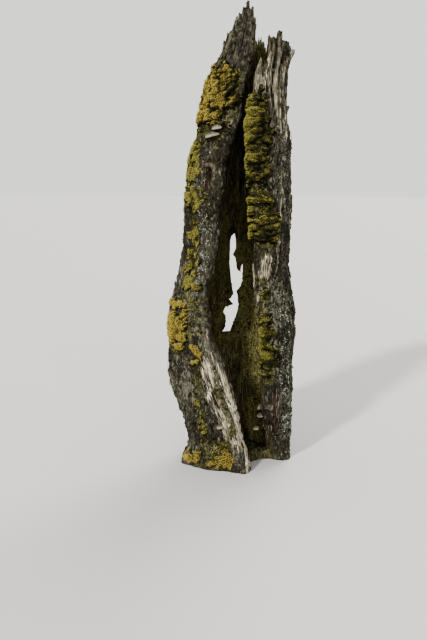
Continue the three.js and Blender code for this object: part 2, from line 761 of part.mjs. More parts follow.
/** A broken branch stub that leans up from its root in the wood. */
function stubSolid(skin, angle, z, { root, tip, length, lift }) {
  const stub = new THREE.CylinderGeometry(tip / 2, root / 2, length, 9, 3);
  const position = stub.attributes.position;
  for (let i = 0; i < position.count; i += 1) {
    const turn = Math.atan2(position.getZ(i), position.getX(i));
    const size = 1 + STUB_WAVE * Math.sin(3 * turn + position.getY(i) / 40);
    position.setXYZ(i, position.getX(i) * size, position.getY(i), position.getZ(i) * size);
  }
  return seated(stub, skin, angle, z, 0, lift);
}

const knotSize = [KNOT.width, 2 * KNOT.deep, KNOT.tall];
const knotCutter = ballOn(SKINS.left, KNOT.angle, KNOT.height, knotSize);
const leftShell = shellSolid(SHELLS.left).subtract(knotCutter);
const rightShell = shellSolid(SHELLS.right);
const backWall = backSolid().subtract(holeCutter());
add('left_shell', leftShell, COLOURS.bark);
add('back_wall', backWall, COLOURS.rot);
add('right_shell', rightShell, COLOURS.bark);

const walls = [leftShell, rightShell, backWall].map((solid) => grown(solid));

/** A solid cut clear of the walls and of any other pieces given. */
function clearOf(solid, others = []) {
  return [...walls, ...others].reduce((rest, wall) => rest.subtract(wall), solid);
}

/** Adds a piece that sits on the walls, and gives it back uncut and grown, to cut others with. */
function addOnWall(name, solid, colour, others = [], roughness = 0.9) {
  add(name, clearOf(solid, others), colour, roughness);
  return grown(solid);
}

// The rotten heart that fills the foot of the hollow, with the flat cut that the origin is on

function heartFloorSolid() {
  const { rings, spokes } = FLOOR;
  const openFrom = lipAngle(1, FLOOR.height);
  const openTo = 360 + lipAngle(-1, FLOOR.height);
  const points = [[], []];
  const index = [];
  for (let j = 1; j <= rings; j += 1) {
    for (let i = 0; i < spokes; i += 1) {
      const angle = i * 360 / spokes;
      const open = angle > openFrom && angle < openTo;
      const reach = open ? FLOOR.open : 1;
      const wall = trunkPoint(angle, FLOOR.height, FLOOR.underWall);
      const share = reach * j / rings;
      const bumps = 1 + 0.25 * Math.sin(3 * i + 2 * j) * Math.cos(2 * i - j);
      const slope = open ? 1 - 0.8 * (j / rings) ** 2 : 1;
      points[0].push([wall.x * share, wall.y * share, 0]);
      points[1].push([wall.x * share, wall.y * share, FLOOR.height * slope * bumps]);
    }
  }
  const positions = [0, 0, 0, 0, 0, FLOOR.height, ...points[0].flat(), ...points[1].flat()];
  const at = (layer, ring, spoke) => 2 + layer * rings * spokes + ring * spokes + spoke % spokes;
  for (let i = 0; i < spokes; i += 1) {
    index.push(0, at(0, 0, i), at(0, 0, i + 1), 1, at(1, 0, i + 1), at(1, 0, i));
    for (let j = 0; j < rings - 1; j += 1) {
      index.push(at(0, j, i), at(0, j + 1, i), at(0, j + 1, i + 1));
      index.push(at(0, j, i), at(0, j + 1, i + 1), at(0, j, i + 1));
      index.push(at(1, j, i), at(1, j + 1, i + 1), at(1, j + 1, i));
      index.push(at(1, j, i), at(1, j, i + 1), at(1, j + 1, i + 1));
    }
    const rim = rings - 1;
    index.push(at(0, rim, i), at(1, rim, i), at(1, rim, i + 1));
    index.push(at(0, rim, i), at(1, rim, i + 1), at(0, rim, i + 1));
  }
  const geometry = new THREE.BufferGeometry();
  geometry.setAttribute('position', new THREE.Float32BufferAttribute(positions, 3));
  geometry.setIndex(index);
  return solidOf(geometry);
}

addOnWall('rotten_heart_floor', heartFloorSolid(), COLOURS.rot);

// Branch stubs, burls and the pale rim of the knot hole

const stubs = STUBS.map(([name, wall, angle, z, sizes]) => (
  addOnWall(name, stubSolid(SKINS[wall], angle, z, sizes), COLOURS.bark)
));

const ringShape = new THREE.TorusGeometry(0.5, 0.13, 6, 14);
ringShape.rotateX(Math.PI / 2);
ringShape.scale(KNOT.width + KNOT.rim, KNOT.rimDeep, KNOT.tall + KNOT.rim);
const rimSolid = seated(ringShape, SKINS.left, KNOT.angle, KNOT.height - 5);
const knotRim = addOnWall('knot_rim', rimSolid, COLOURS.silverWood);

const burls = [];
for (const [name, wall, angle, z, size] of BURLS) {
  const ball = ballOn(SKINS[wall], angle, z, size, size[1] * BURL_SUNK);
  const colour = wall === 'hollow' ? COLOURS.rot : COLOURS.bark;
  burls.push(addOnWall(name, ball, colour, burls));
}

// Bracket fungi

const brackets = [];
for (const [name, wall, angle, z, size] of BRACKETS) {
  const shelf = bracketSolid(SKINS[wall], angle, z, size);
  brackets.push(addOnWall(name, shelf, COLOURS.fungus, brackets, 0.75));
}

// Slivers and flakes at the broken top and on the flanks

const slivers = [];
for (const sliver of SLIVERS) {
  const strip = stripSolid(SKINS[sliver.wall], sliver);
  const others = [...burls, ...brackets, ...slivers];
  slivers.push(addOnWall(sliver.name, strip, COLOURS.silverWood, others));
}

// Moss

const fixtures = [...stubs, knotRim, ...burls, ...brackets, ...slivers];
const cushions = [];
for (const moss of MOSS) {
  const cushion = mossSolid(SKINS[moss.wall], moss, cushions.length);
  const others = [...fixtures, ...cushions];
  cushions.push(addOnWall(moss.name, cushion, COLOURS[moss.colour], others, 1));
}

export default tree;
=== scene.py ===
# %% [markdown]
# A standing dead tree
#
# This lesson dresses the hollow trunk of an old conifer, 5.9 m tall. The solid model gives its
# walls, moss, fungi and splinters as plain solids. Here each of them is modelled again in the same
# place, with bark, rot, torn fibres and moss as real geometry, and with a material for each
# surface. All lengths are metres, +Z is up, and the open side of the hollow faces -Y.

# %% The frame and the libraries
import math

import bmesh
import bpy
import numpy as np
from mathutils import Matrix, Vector


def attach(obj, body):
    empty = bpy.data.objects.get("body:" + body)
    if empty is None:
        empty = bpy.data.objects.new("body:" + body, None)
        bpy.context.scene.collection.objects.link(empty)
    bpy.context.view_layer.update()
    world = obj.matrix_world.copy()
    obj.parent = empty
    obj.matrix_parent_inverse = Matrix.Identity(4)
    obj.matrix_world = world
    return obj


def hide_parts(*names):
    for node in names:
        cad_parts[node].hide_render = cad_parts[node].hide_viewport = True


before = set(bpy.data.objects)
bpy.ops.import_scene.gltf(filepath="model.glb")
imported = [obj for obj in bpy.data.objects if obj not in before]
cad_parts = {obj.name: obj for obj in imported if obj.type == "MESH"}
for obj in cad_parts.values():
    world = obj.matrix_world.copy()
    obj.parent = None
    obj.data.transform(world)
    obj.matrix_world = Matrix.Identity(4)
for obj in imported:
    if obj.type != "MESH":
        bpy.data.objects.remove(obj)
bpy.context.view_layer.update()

scene = bpy.context.scene
random = np.random.default_rng(57)

# %% [markdown]
# The camera stands eleven and a half metres in front of the tree, a little left of its middle and
# above its waist, and looks slightly down. That is the view that a person has from a rise in the
# ground. A 50 mm lens on a 36 mm sensor keeps the trunk's taper true.

# %% Camera
CAMERA_PLACE = (-0.30, -11.538, 4.1996)
CAMERA_PITCH_DOWN = 11.301
camera_data = bpy.data.cameras.new("camera")
camera_data.lens = 50
camera_data.sensor_width = 36
camera = bpy.data.objects.new("camera", camera_data)
camera.location = CAMERA_PLACE
camera.rotation_euler = (math.radians(90 - CAMERA_PITCH_DOWN), 0, 0)
scene.collection.objects.link(camera)
scene.camera = camera
print("camera at", CAMERA_PLACE)

# %% [markdown]
# The form of the trunk is written once more as tables of real sizes, the same ones that the solid
# model is worked out from. A height comes first in every row. An angle on the trunk is counted in
# degrees round +Z: 0 is the back, 90 the right side, 180 the front and -90 the left side. Each
# table is read by one smooth curve, so the shape has no steps between its rows.

# %% Tables of the trunk
OUTLINE = [
    (0, -.730, .720), (.12, -.665, .705), (.25, -.640, .700), (.5, -.690, .695),
    (.75, -.730, .700), (1, -.800, .708), (1.25, -.825, .712), (1.5, -.860, .725),
    (1.75, -.870, .740), (2, -.857, .720), (2.25, -.820, .682), (2.5, -.748, .650),
    (2.75, -.692, .638), (3, -.655, .655), (3.5, -.640, .660), (4, -.590, .652),
    (4.25, -.500, .655), (4.5, -.448, .620), (4.75, -.390, .592), (5, -.310, .597),
    (5.25, -.180, .625), (5.5, -.095, .590), (5.75, -.015, .555), (5.9, .020, .530),
]
DEPTH_SHARE = [(0, .83), (1, .84), (2.5, .9), (4, .88), (5.9, .86)]
MIDDLE_DEPTH = [(0, 0), (1.5, .025), (3.5, .030), (5.9, -.010)]
LEFT_LIP = [
    (0, .190), (.25, .142), (.5, .070), (.75, .016), (1, -.037), (1.25, -.108), (1.5, -.192),
    (1.75, -.319), (2, -.379), (2.25, -.400), (2.5, -.365), (2.75, -.312), (3, -.269),
    (3.5, -.214), (4, -.148), (4.25, -.070), (4.5, .020), (4.75, .054), (5, .112), (5.25, .170),
    (5.5, .203), (5.9, .235),
]
RIGHT_LIP = [
    (0, .600), (.25, .570), (.5, .483), (.75, .422), (1, .418), (1.25, .396), (1.5, .385),
    (1.75, .358), (2, .324), (2.25, .284), (2.75, .274), (3, .244), (3.5, .185), (3.75, .160),
    (4.25, .151), (4.5, .145), (4.75, .178), (5, .204), (5.25, .245), (5.9, .300),
]
THICKNESS = [  # at the back, at the lips
    (0, .170, .250), (.6, .150, .260), (1.5, .130, .235), (2.5, .120, .215), (3.5, .115, .190),
    (4.5, .100, .150), (5.2, .080, .110), (5.9, .060, .080),
]
TOPS = {  # broken tops, from the seam of a shell to its lip, and across the back wall
    "left": [5.3, 5.39, 5.33, 5.47, 5.5, 5.58, 5.63, 5.7, 5.755, 5.82, 5.87, 5.9, 5.85, 5.865,
             5.835, 5.825, 5.78, 5.62],
    "back": [5.3, 5.18, 5.24, 5.15, 5.33, 5.42, 5.585, 5.56, 5.4, 5.585, 5.54, 5.635, 5.56],
    "right": [5.56, 5.365, 5.51, 5.26, 5.33, 5.19, 5.245, 5.15, 5.175, 5.255, 5.18, 5.265, 5.2,
              5.11],
}
RIDGES = [  # rise, half width in degrees, path of height and angle
    (.062, 12, [(0, -189), (.4, -184), (.75, -177), (1.4, -163), (1.9, -151), (3.1, -150)]),
    (.050, 9, [(.47, -122), (.7, -110), (.9, -102), (1.5, -96)]),
    (.048, 9, [(0, -113), (.25, -124), (.6, -127), (1.5, -132)]),
    (-.060, 8, [(.52, -119), (.75, -116), (1.15, -113), (1.6, -112)]),
    (-.050, 12, [(0, -88), (.45, -96), (.8, -84), (1.2, -80)]),
    (.034, 13, [(0, -60), (.6, -58), (1.5, -60)]),
    (.042, 13, [(0, -24), (.7, -22), (1.7, -18)]),
    (.046, 13, [(0, 34), (.6, 30), (1.5, 34)]),
    (.026, 12, [(0, 96), (.5, 104), (1.3, 112), (2.6, 118)]),
    (.024, 11, [(2.3, -112), (3.2, -104), (4.3, -112), (5.3, -124)]),
    (-.022, 9, [(2.5, -128), (3.3, -124), (4.3, -134)]),
    (.024, 11, [(1.8, 92), (3, 84), (4.4, 92)]),
    (-.026, 8, [(1.5, 126), (2.6, 130), (3.6, 128), (4.7, 132)]),
    (.026, 14, [(2.6, 8), (3.6, 14), (4.8, 6)]),
]
SEAM_ANGLE = 64
TIP_TAPER = .7
TIP_THICKNESS = .3
LEAST_THICKNESS = .3
LIP_ROUNDING = .6
LIP_CROWDING = 1.3
RIDGE_FADE = .26
SHOULDER = 4.44  # above this height the rows of a wall spread up to its broken top
KNOT = {"angle": -143, "height": 3.83, "size": (.130, .160, .190)}


# %% Reading the tables
def along(stations, height, column=1):
    """Smooth value at each height, from rows whose first entry is the height."""
    table = np.array(stations, float)
    at, value = table[:, 0], table[:, column]
    last = len(at) - 1
    i = np.searchsorted(at[1:last], height, side="left")
    before = np.maximum(i - 1, 0)
    after = np.minimum(i + 2, last)
    span = at[i + 1] - at[i]
    t = np.clip((height - at[i]) / span, 0, 1)
    start = (value[i + 1] - value[before]) / (at[i + 1] - at[before]) * span
    end = (value[after] - value[i]) / (at[after] - at[i]) * span
    return ((2 * t**3 - 3 * t**2 + 1) * value[i] + (t**3 - 2 * t**2 + t) * start
            + (3 * t**2 - 2 * t**3) * value[i + 1] + (t**3 - t**2) * end)


def middle(z):
    """Middle of the trunk's section, as distances right and back, at each height."""
    return (along(OUTLINE, z, 1) + along(OUTLINE, z, 2)) / 2, along(MIDDLE_DEPTH, z)


def half_width(z):
    return (along(OUTLINE, z, 2) - along(OUTLINE, z, 1)) / 2


def relief(angle, z):
    """How far the ridges and root flares stand out from the plain oval."""
    turn = np.radians(angle)
    rise = (.009 * np.sin(7 * turn + 1.3 * z) + .007 * np.sin(12 * turn - .9 * z + 2)
            + .006 * np.sin(3 * turn + 4.1 * z))
    for height, width, path in RIDGES:
        foot = 1 if path[0][0] == 0 else np.clip((z - path[0][0]) / RIDGE_FADE, 0, 1)
        head = np.clip((path[-1][0] - z) / RIDGE_FADE, 0, 1)
        rise = rise + height * foot * head * np.exp(-((angle - along(path, z)) / width) ** 2)
    return rise


def rot_relief(angle, z):
    """How far the rotted inner face bulges into the hollow."""
    turn = np.radians(angle)
    return (.012 * np.sin(9 * turn + 2.2 * z) + .010 * np.sin(5 * turn - 3.1 * z)
            + .007 * np.sin(14 * turn + 5.3 * z))


def trunk_point(angle, z, depth):
    """Points on the trunk, each a given depth under the bark."""
    turn = np.radians(angle)
    stand = relief(angle, z) - depth
    right, back = middle(z)
    wide = half_width(z)
    deep = wide * along(DEPTH_SHARE, z)
    return np.stack([right + (wide + stand) * np.sin(turn), back + (deep + stand) * np.cos(turn),
                     z + 0 * turn], axis=-1)


def inner_depth(angle, z, lipness, top):
    """Depth of the inner face under the bark; lipness is 0 at the back and 1 at a lip."""
    back, lip = along(THICKNESS, z, 1), along(THICKNESS, z, 2)
    taper = np.clip((top - z) / TIP_TAPER, 0, 1)
    thickness = (back + (lip - back) * lipness) * (TIP_THICKNESS + (1 - TIP_THICKNESS) * taper)
    free = relief(angle, z) - rot_relief(angle, z) * taper
    return np.maximum(thickness + free * taper, LEAST_THICKNESS * thickness)


def lip_angle(side, z):
    """Angle of the left lip (side -1) or the right one (side 1) at each height."""
    across = along(LEFT_LIP if side < 0 else RIGHT_LIP, z)
    reach = half_width(z) - along(THICKNESS, z, 2) / 3
    return side * 180 - np.degrees(np.arcsin(np.clip((across - middle(z)[0]) / reach, -1, 1)))


def broken_top(wall, share):
    """Height of a wall's broken top, at a share of the way along its row of heights."""
    top = TOPS[wall]
    return np.interp(share * (len(top) - 1), range(len(top)), top)


def shell_top(side, share):
    """Height of a shell's broken top; share is 1 at the seam and 0 at the lip."""
    return broken_top("left" if side < 0 else "right", 1 - share ** (1 / LIP_CROWDING))


def shell_section(side, angle, z):
    """
    For a place on a shell's skin: the angle where it stands, the wall's depth there, and how far
    the skin is from the middle of the wall, from -1 outside over 0 at the lip to 1 inside. An
    angle past the lip is as far back on the rotted inside.
    """
    lip = lip_angle(side, z)
    past = (angle - lip) * side
    place = np.where(past > 0, 2 * lip - angle, angle)
    share = np.clip(np.abs(past) / np.abs(lip - side * SEAM_ANGLE), 0, 1)
    inner = inner_depth(place, z, 1 - share, shell_top(side, share))
    q = np.clip(np.radians(np.abs(past)) * half_width(z) / (LIP_ROUNDING * inner), 0, 1)
    return place, inner, np.sign(past) * np.sqrt(1 - (1 - q) ** 2)


def shell_point(side, angle, z):
    place, inner, face = shell_section(side, angle, z)
    return trunk_point(place, z, inner / 2 * (1 + face))


def back_inside(angle, z):
    return trunk_point(angle, z, inner_depth(angle, z, 0, TOPS["left"][11]))


SKINS = {
    "left": lambda angle, z: shell_point(-1, angle, z),
    "right": lambda angle, z: shell_point(1, angle, z),
    "hollow": back_inside,
    "back": lambda angle, z: trunk_point(angle, z, 0),
}
print("girth at 1.3 m:", round(float(2 * math.pi * half_width(np.array(1.3)) * .92), 2), "m")

# %% [markdown]
# Weathered wood has no smooth faces. Its roughness is worked out from three kinds of random
# pattern, each read at a point of the tree, so that neighbouring walls agree at their seams: soft
# noise for lumps, folded noise for sharp ribs, and cells for bark plates and cushions of moss.

# %% Patterns
def dice(cells, seed):
    """A number from 0 to 1 for every whole-number cell, the same on each run."""
    key = (cells[..., 0] * 374761393 + cells[..., 1] * 668265263 + cells[..., 2] * 1103515245
           + seed * 974634777) & 0xffffffff
    key = ((key ^ (key >> 13)) * 1274126177) & 0xffffffff
    return (key ^ (key >> 16)) / 0xffffffff


def noise(points, size, seed=0):
    """Soft noise from -1 to 1; size is the width of a lump, or its width along X, Y and Z."""
    place = points / np.array(size)
    cell = np.floor(place).astype(np.int64)
    t = place - cell
    t = t * t * (3 - 2 * t)
    total = 0
    for corner in range(8):
        step = np.array([corner & 1, corner >> 1 & 1, corner >> 2 & 1])
        weight = np.prod(np.where(step, t, 1 - t), axis=-1)
        total = total + weight * dice(cell + step, seed)
    return 2 * total - 1


def fractal(points, size, seed=0, octaves=3, rough=.55):
    """Noise with finer noise on it, each octave half as wide."""
    size = np.array(size)
    layers = [noise(points, size / 2**k, seed + k) * rough**k for k in range(octaves)]
    return sum(layers) / sum(rough**k for k in range(octaves))


def ribs(points, size, seed=0):
    """Folded noise: 1 along sharp crests and 0 or less between them."""
    return 1 - 2 * np.abs(fractal(points, size, seed, 2))


def cells(points, size, seed=0):
    """Distance to the nearest random seed point and to the next one, and the cell's own number."""
    place = points / np.array(size)
    cell = np.floor(place).astype(np.int64)
    near = np.full(len(points), np.inf)
    far = np.full(len(points), np.inf)
    name = np.zeros(len(points))
    for step in np.ndindex(3, 3, 3):
        there = cell + np.array(step) - 1
        spot = there + np.stack([dice(there, seed + k) for k in (1, 2, 3)], axis=-1)
        gap = np.linalg.norm(place - spot, axis=-1)
        closer = gap < near
        far = np.where(closer, near, np.minimum(far, gap))
        name = np.where(closer, dice(there, seed + 4), name)
        near = np.where(closer, gap, near)
    return near, far, name


def ease(value, low, high):
    """0 below low, 1 above high, and a smooth step between them."""
    t = np.clip((value - low) / (high - low), 0, 1)
    return t * t * (3 - 2 * t)


print("noise at the origin:", round(float(noise(np.zeros((1, 3)), .1)[0]), 3))

# %% [markdown]
# Weather, rot and moss have their places on the trunk. Each is drawn like a stroke of a wide soft
# brush along a path of height and angle. Each state of the skin has its table, and so has the moss
# inside the hollow, which is also painted light on the lit right side of the hollow. The strokes
# steer both the shape, where plates of bark stop at bare wood, and the colours, which reach the
# materials as attributes of the mesh. Behind, soft noise lays out the patches instead. Two more
# tables hold the deep splits, whose depth also paints shade into them, and the limb that sweeps
# down to the foot.

# %% Strokes of wear
BARE = [  # half width in degrees, strength, path of height and angle
    (9, .38, [(1.5, -160), (1.9, -151), (2.46, -145)]),
    (5, 1.0, [(.05, -192), (.4, -188), (.75, -181), (1.4, -168)]),
    (12, .8, [(.3, -176), (.8, -166), (1.1, -158), (1.5, -156)]),
    (4, .6, [(.25, -108), (.7, -101), (1.25, -97)]),
    (5, .9, [(5.0, -180), (5.3, -186), (5.75, -190)]),
    (4, .7, [(4.55, 169), (4.9, 169), (5.3, 170)]),
    (3, .7, [(4.6, 155), (5.2, 156), (5.4, 156)]),
    (4, .7, [(4.3, 144), (4.8, 145), (5.3, 147)]),
    (3, .9, [(4.6, 128), (5.1, 125), (5.4, 122)]),
    (5, .9, [(4.3, 117), (4.6, 116), (4.8, 114)]),
    (7, .9, [(2.0, 147), (2.5, 144), (3.05, 142)]),
    (4, 1.0, [(2.6, 127), (3.1, 125), (3.7, 124)]),
    (3, .5, [(1.5, 149), (2.3, 155), (2.9, 157)]),
]
MOSSY = [
    (34, 1.0, [(4.2, -116), (4.6, -118), (5.1, -112)]),
    (18, 1.0, [(3.2, -118), (3.8, -108), (4.3, -110)]),
    (13, .9, [(2.2, -128), (2.8, -126), (3.3, -122)]),
    (26, 1.0, [(1.5, -120), (1.8, -128), (2.3, -128)]),
    (8, .9, [(.3, -146), (.7, -143), (1.7, -146)]),
    (30, 1.0, [(0, -150), (.12, -150), (.4, -150)]),
    (16, 1.0, [(3.6, 160), (4.2, 162), (4.7, 166)]),
    (5, .8, [(4.6, 160), (4.8, 162), (5.0, 163)]),
    (15, 1.0, [(2.85, 143), (3.2, 148), (3.6, 154)]),
    (7, .8, [(1.1, 137), (1.7, 140), (2.5, 146)]),
    (6, .6, [(.3, 140), (.8, 142), (1.2, 140)]),
    (9, .55, [(.4, -176), (.9, -170), (1.4, -164)]),
    (7, .6, [(5.0, -104), (5.4, -110), (5.7, -118)]),
    (10, .55, [(1.0, -126), (1.2, -122), (1.5, -118)]),
    (8, .5, [(2.1, 128), (2.9, 122), (3.9, 120)]),
    (10, .62, [(3.2, -144), (3.8, -148), (4.3, -146)]),
    (12, .85, [(4.25, -158), (4.7, -162), (5.05, -158)]),
    (8, .5, [(3.0, -158), (3.6, -160), (4.2, -162)]),
    (18, .75, [(0, 20), (.3, 18), (.8, 16)]),
    (14, .7, [(3.9, -62), (4.5, -70), (5.1, -72)]),
    (10, .6, [(1.2, 98), (2.0, 94), (2.6, 98)]),
]
DAMP_AND_LIT = [  # moss inside, also painted light on the lit right side of the hollow
    (44, 1.0, [(.1, 52), (.8, 50), (1.6, 46), (2.4, 42), (2.9, 46)]),
    (14, .6, [(.1, -40), (.8, -44), (2.2, -40)]),
    (13, .7, [(2.3, 24), (3.0, 26), (3.6, 22)]),
    (14, .8, [(1.42, -6), (1.52, -6), (1.62, -8)]),
    (9, .6, [(1.7, -16), (1.9, -18), (2.1, -18)]),
    (22, .5, [(.2, 120), (1.0, 118), (2.0, 130), (2.4, 140)]),
]
LICHENED = [
    (14, .9, [(2.3, -136), (2.8, -140), (3.4, -138)]),
    (13, .6, [(3.4, -136), (4.2, -142)]),
    (16, 1.0, [(.4, 112), (1.3, 118), (2.4, 122), (4.4, 124)]),
    (12, .5, [(4.5, 140), (4.8, 140), (5.1, 140)]),
    (10, .6, [(1.1, -168), (1.5, -158), (1.8, -152)]),
    (8, .7, [(1.6, -96), (1.9, -94), (2.3, -98)]),
    (7, .7, [(3.2, -96), (3.7, -94), (4.1, -94)]),
    (20, .8, [(1.6, 10), (2.6, 12), (3.5, -6)]),
    (18, .7, [(1.0, 74), (2.6, 84), (4.4, 88)]),
    (16, .8, [(.4, -52), (1.2, -58), (2.4, -60)]),
]
RED_ROT = [
    (4, 1.0, [(5.7, -172), (5.8, -172), (5.9, -174)]),
    (5, 1.0, [(4.5, 144), (4.62, 142), (4.75, 140)]),
    (2, 1.0, [(4.8, 138), (5.1, 138), (5.25, 138)]),
    (4, 1.0, [(.3, 126), (.7, 129), (1.0, 130)]),
    (6, .9, [(3.62, -143), (3.8, -143), (4.0, -142)]),
    (3, .9, [(.85, -164), (.99, -163), (1.12, -162)]),
    (3, .6, [(2.0, 150), (2.6, 152), (3.0, 150)]),
]
LIMB = [  # height and angle of the middle of the limb, from its foot to its pointed head
    (0, -186), (.43, -180), (.70, -174), (.99, -168), (1.26, -163), (1.52, -159), (1.71, -155),
    (2.01, -152), (2.26, -149), (2.44, -145), (2.9, -141),
]
# A groove's depth also darkens it as painted shade, through the crack shade in bark_height.
GROOVES = [  # half width in degrees, depth, path of height and angle
    (2.4, .055, [(4.85, 161), (5.1, 165), (5.6, 166)]),
    (1.9, .055, [(4.95, 150), (5.2, 152), (5.6, 156)]),
    (2.8, .075, [(4.6, 136), (4.78, 138), (4.9, 141), (5.12, 144), (5.5, 142)]),
    (2.6, .065, [(4.65, 127), (4.95, 127), (5.15, 126), (5.5, 123)]),
    (1.6, .030, [(4.7, 110), (5.0, 109), (5.6, 108)]),
    (1.7, .030, [(4.6, -192), (5.2, -196), (5.6, -198)]),
    (1.6, .026, [(4.9, -150), (5.4, -152), (5.8, -154)]),
    (1.5, .022, [(5.0, -134), (5.4, -136), (5.8, -138)]),
    (2.0, .024, [(3.0, 131), (3.6, 128), (4.3, 130)]),
    (1.8, .028, [(.9, 136), (1.3, 138), (1.7, 139)]),
    (1.8, .026, [(.2, 120), (.8, 121), (1.4, 119)]),
    (2.0, .030, [(.15, -158), (.6, -153), (1.0, -150)]),
    (1.6, .024, [(.2, -134), (.7, -133), (1.3, -138)]),
    (2.2, .030, [(2.1, -60), (2.8, -64), (3.8, -60)]),
    (2.2, .030, [(1.2, 18), (2.4, 22), (3.6, 18)]),
    (2.0, .028, [(.6, 66), (1.9, 70), (3.2, 66)]),
    (2.0, .030, [(4.0, -20), (4.8, -16), (5.6, -20)]),
    (2.0, .030, [(3.9, 36), (4.6, 40), (5.6, 44)]),
]


def strokes(table, angle, z, fade=.12):
    """The strongest stroke at each place, or the deepest groove."""
    strongest = 0 * z
    for width, strength, path in table:
        low, high = path[0][0], path[-1][0]
        within = ease(z, low - fade, low + fade / 2) * ease(-z, -high - fade, -high + fade / 2)
        reach = strength * within * np.exp(-((angle - along(path, z)) / width) ** 2)
        strongest = np.maximum(strongest, reach)
    return strongest


def wear(points, angle, z, inside):
    """
    How bare, mossy, lichened and red with rot the skin is, with ragged borders. Behind, where no
    stroke is drawn, soft noise lays out the patches.
    """
    ragged = .30 * fractal(points, (.10, .10, .16), 11) + .15 * fractal(points, (.03, .03, .05), 15)
    torn = .34 * fractal(points, (.045, .045, .60), 17) + .18 * fractal(points, (.02, .02, .2), 19)
    bare = ease(strokes(BARE, angle, z, .35) + torn, .35, .75)
    # Inside, the moss also stands for painted light on the lit right side of the hollow.
    moss = np.maximum(strokes(MOSSY, angle, z) * (1 - .7 * inside),
                      strokes(DAMP_AND_LIT, angle, z, .3) * inside)
    mossy = ease(moss + ragged, .35, .75)
    lichened = ease(strokes(LICHENED, angle, z, .3) + ragged, .35, .75)
    red = ease(strokes(RED_ROT, angle, z) + ragged, .35, .75)

    behind = ease(-np.abs(angle), -106, -88) * (1 - inside)
    fallen = fractal(points, (.20, .20, 1.1), 23) + .5 * torn
    bare = np.maximum(bare, behind * .9 * ease(fallen, .12, .36))
    grown = fractal(points, (.30, .30, .45), 26) + .30 * ease(-z, -1.4, 0)
    mossy = np.maximum(mossy, behind * .9 * ease(grown + .3 * ragged, .20, .44))
    lichened = np.maximum(lichened, behind * ease(fractal(points, (.25, .25, .5), 29), .02, .30))
    return bare * (1 - .8 * mossy), mossy, lichened * (1 - .6 * mossy), red


def grain_turn(angle, z):
    """Degrees by which the grain has turned with the limb that sweeps down across the foot."""
    return (along(LIMB, z) - LIMB[-1][1]) * ease(-angle, 108, 150)


def smooth_limb(angle, z):
    """Where the limb's wood is worn smooth, from 0 to 1."""
    return ease(z, 1.35, 1.7) * ease(-z, -2.75, -2.35) * np.exp(-((angle - along(LIMB, z)) / 11)**2)


print("strokes:", sum(map(len, (BARE, MOSSY, DAMP_AND_LIT, LICHENED, RED_ROT))), "grooves:", len(GROOVES))

# %% [markdown]
# Two functions give the roughness itself. Outside, old bark is split into tall plates, and where
# it has fallen the grain of the bare wood shows as fine upright ribs. Inside, brown rot leaves
# thick soft ribs and then cracks them across into small blocks. Each function also gives painted
# shade: how dark the skin is made where it lies deep in a crack.

# %% Roughness outside and inside
def bark_height(points, angle, z, bare, mossy, limb=0):
    """How far the bark stands out from the smooth trunk, and its painted shade in cracks."""
    bare = np.maximum(bare, limb)
    wander = fractal(points, .16, 21)[:, None] * np.array([.04, .04, .06])
    near, far, tone = cells(points + wander, (.050, .050, .15), 25)
    crack = 1 - ease(far - near, .02, .30)
    plates = .017 * (ease(far - near, 0, .28) - .7) + .016 * (tone - .5)
    grain = .0080 * ribs(points + wander, (.034, .034, .40), 31)
    grain = grain + .0050 * ribs(points, (.015, .015, .22), 35)
    lumps = .018 * fractal(points, (.13, .13, .20), 37, 3)
    fluted = .015 * ribs(points + 1.5 * wander, (.12, .12, 1.5), 43)
    high = ease(z, 4.35, 4.8)
    slats = high * .028 * ribs(points, (.052, .052, 1.1), 41)
    skin = (1 - bare) * plates * (1 - .6 * high) + grain * (.5 + bare) + lumps * (1 - .45 * bare)
    skin = (skin + fluted * (1 - .5 * high)) * (1 - .85 * limb)
    split = strokes(GROOVES, angle, z, .2)
    furrow = ease(-fluted, -.002, .012) * (1 - limb)
    # Painted shade: the skin is darkened in cracks between plates, in furrows and in deep splits.
    crevice_shade = np.clip((1 - bare) * crack * .45 + .4 * furrow + split / .06 - 6 * slats, 0, .9)
    return (skin + slats) * (1 - .6 * mossy) - split * (1 - .5 * mossy), crevice_shade * (1 - .5 * mossy)


def rot_height(points, z):
    """How far the rotted inside bulges into the hollow, and its painted shade in cracks."""
    wander = fractal(points, .2, 51)[:, None] * np.array([.05, .05, .12])
    upright = ribs(points + wander, (.085, .085, .75), 53)
    near, far, tone = cells(points + wander, (.07, .07, .10), 57)
    block = ease(far - near, 0, .3)
    foot = 1 - ease(z, .9, 2.2)
    rough = (.030 * upright + .012 * block + .012 * tone
             + (.024 + .026 * foot) * fractal(points, (.13, .13, .17), 61, 3))
    # Painted shade: the rot is darkened between its ribs and blocks.
    crevice_shade = np.clip(.60 - .50 * upright - .35 * block, 0, .8)
    return rough, crevice_shade


print("bark plates 62 mm wide, ribs of rot 85 mm wide")

# %% [markdown]
# Now the walls. A wall is a folded sheet: one grid runs up the outside, round the lip and back
# along the inside. Its outermost rows and columns are drawn in to the middle of the wall, where
# the two halves of the sheet meet, and merging the doubles there closes it. One grid operator and
# one mapping make a closed wall with no holes and no hidden faces.

# %% Folding a sheet into a wall
RIM = 3  # rows and columns drawn in to the middle at every open edge
ROWS_END = 5.6  # the height that the level rows of a wall are shared out over


def mesh_of(bm, name):
    """The mesh that a bmesh has built."""
    mesh = bpy.data.meshes.new(name)
    bm.to_mesh(mesh)
    bm.free()
    return mesh


def read(items, name, width=1, kind=float):
    """One attribute of all vertices, faces or loops of a mesh, as an array."""
    values = np.empty(len(items) * width, kind)
    items.foreach_get(name, values)
    return values.reshape(-1, width) if width > 1 else values


def corners(mesh):
    return read(mesh.vertices, "co", 3)


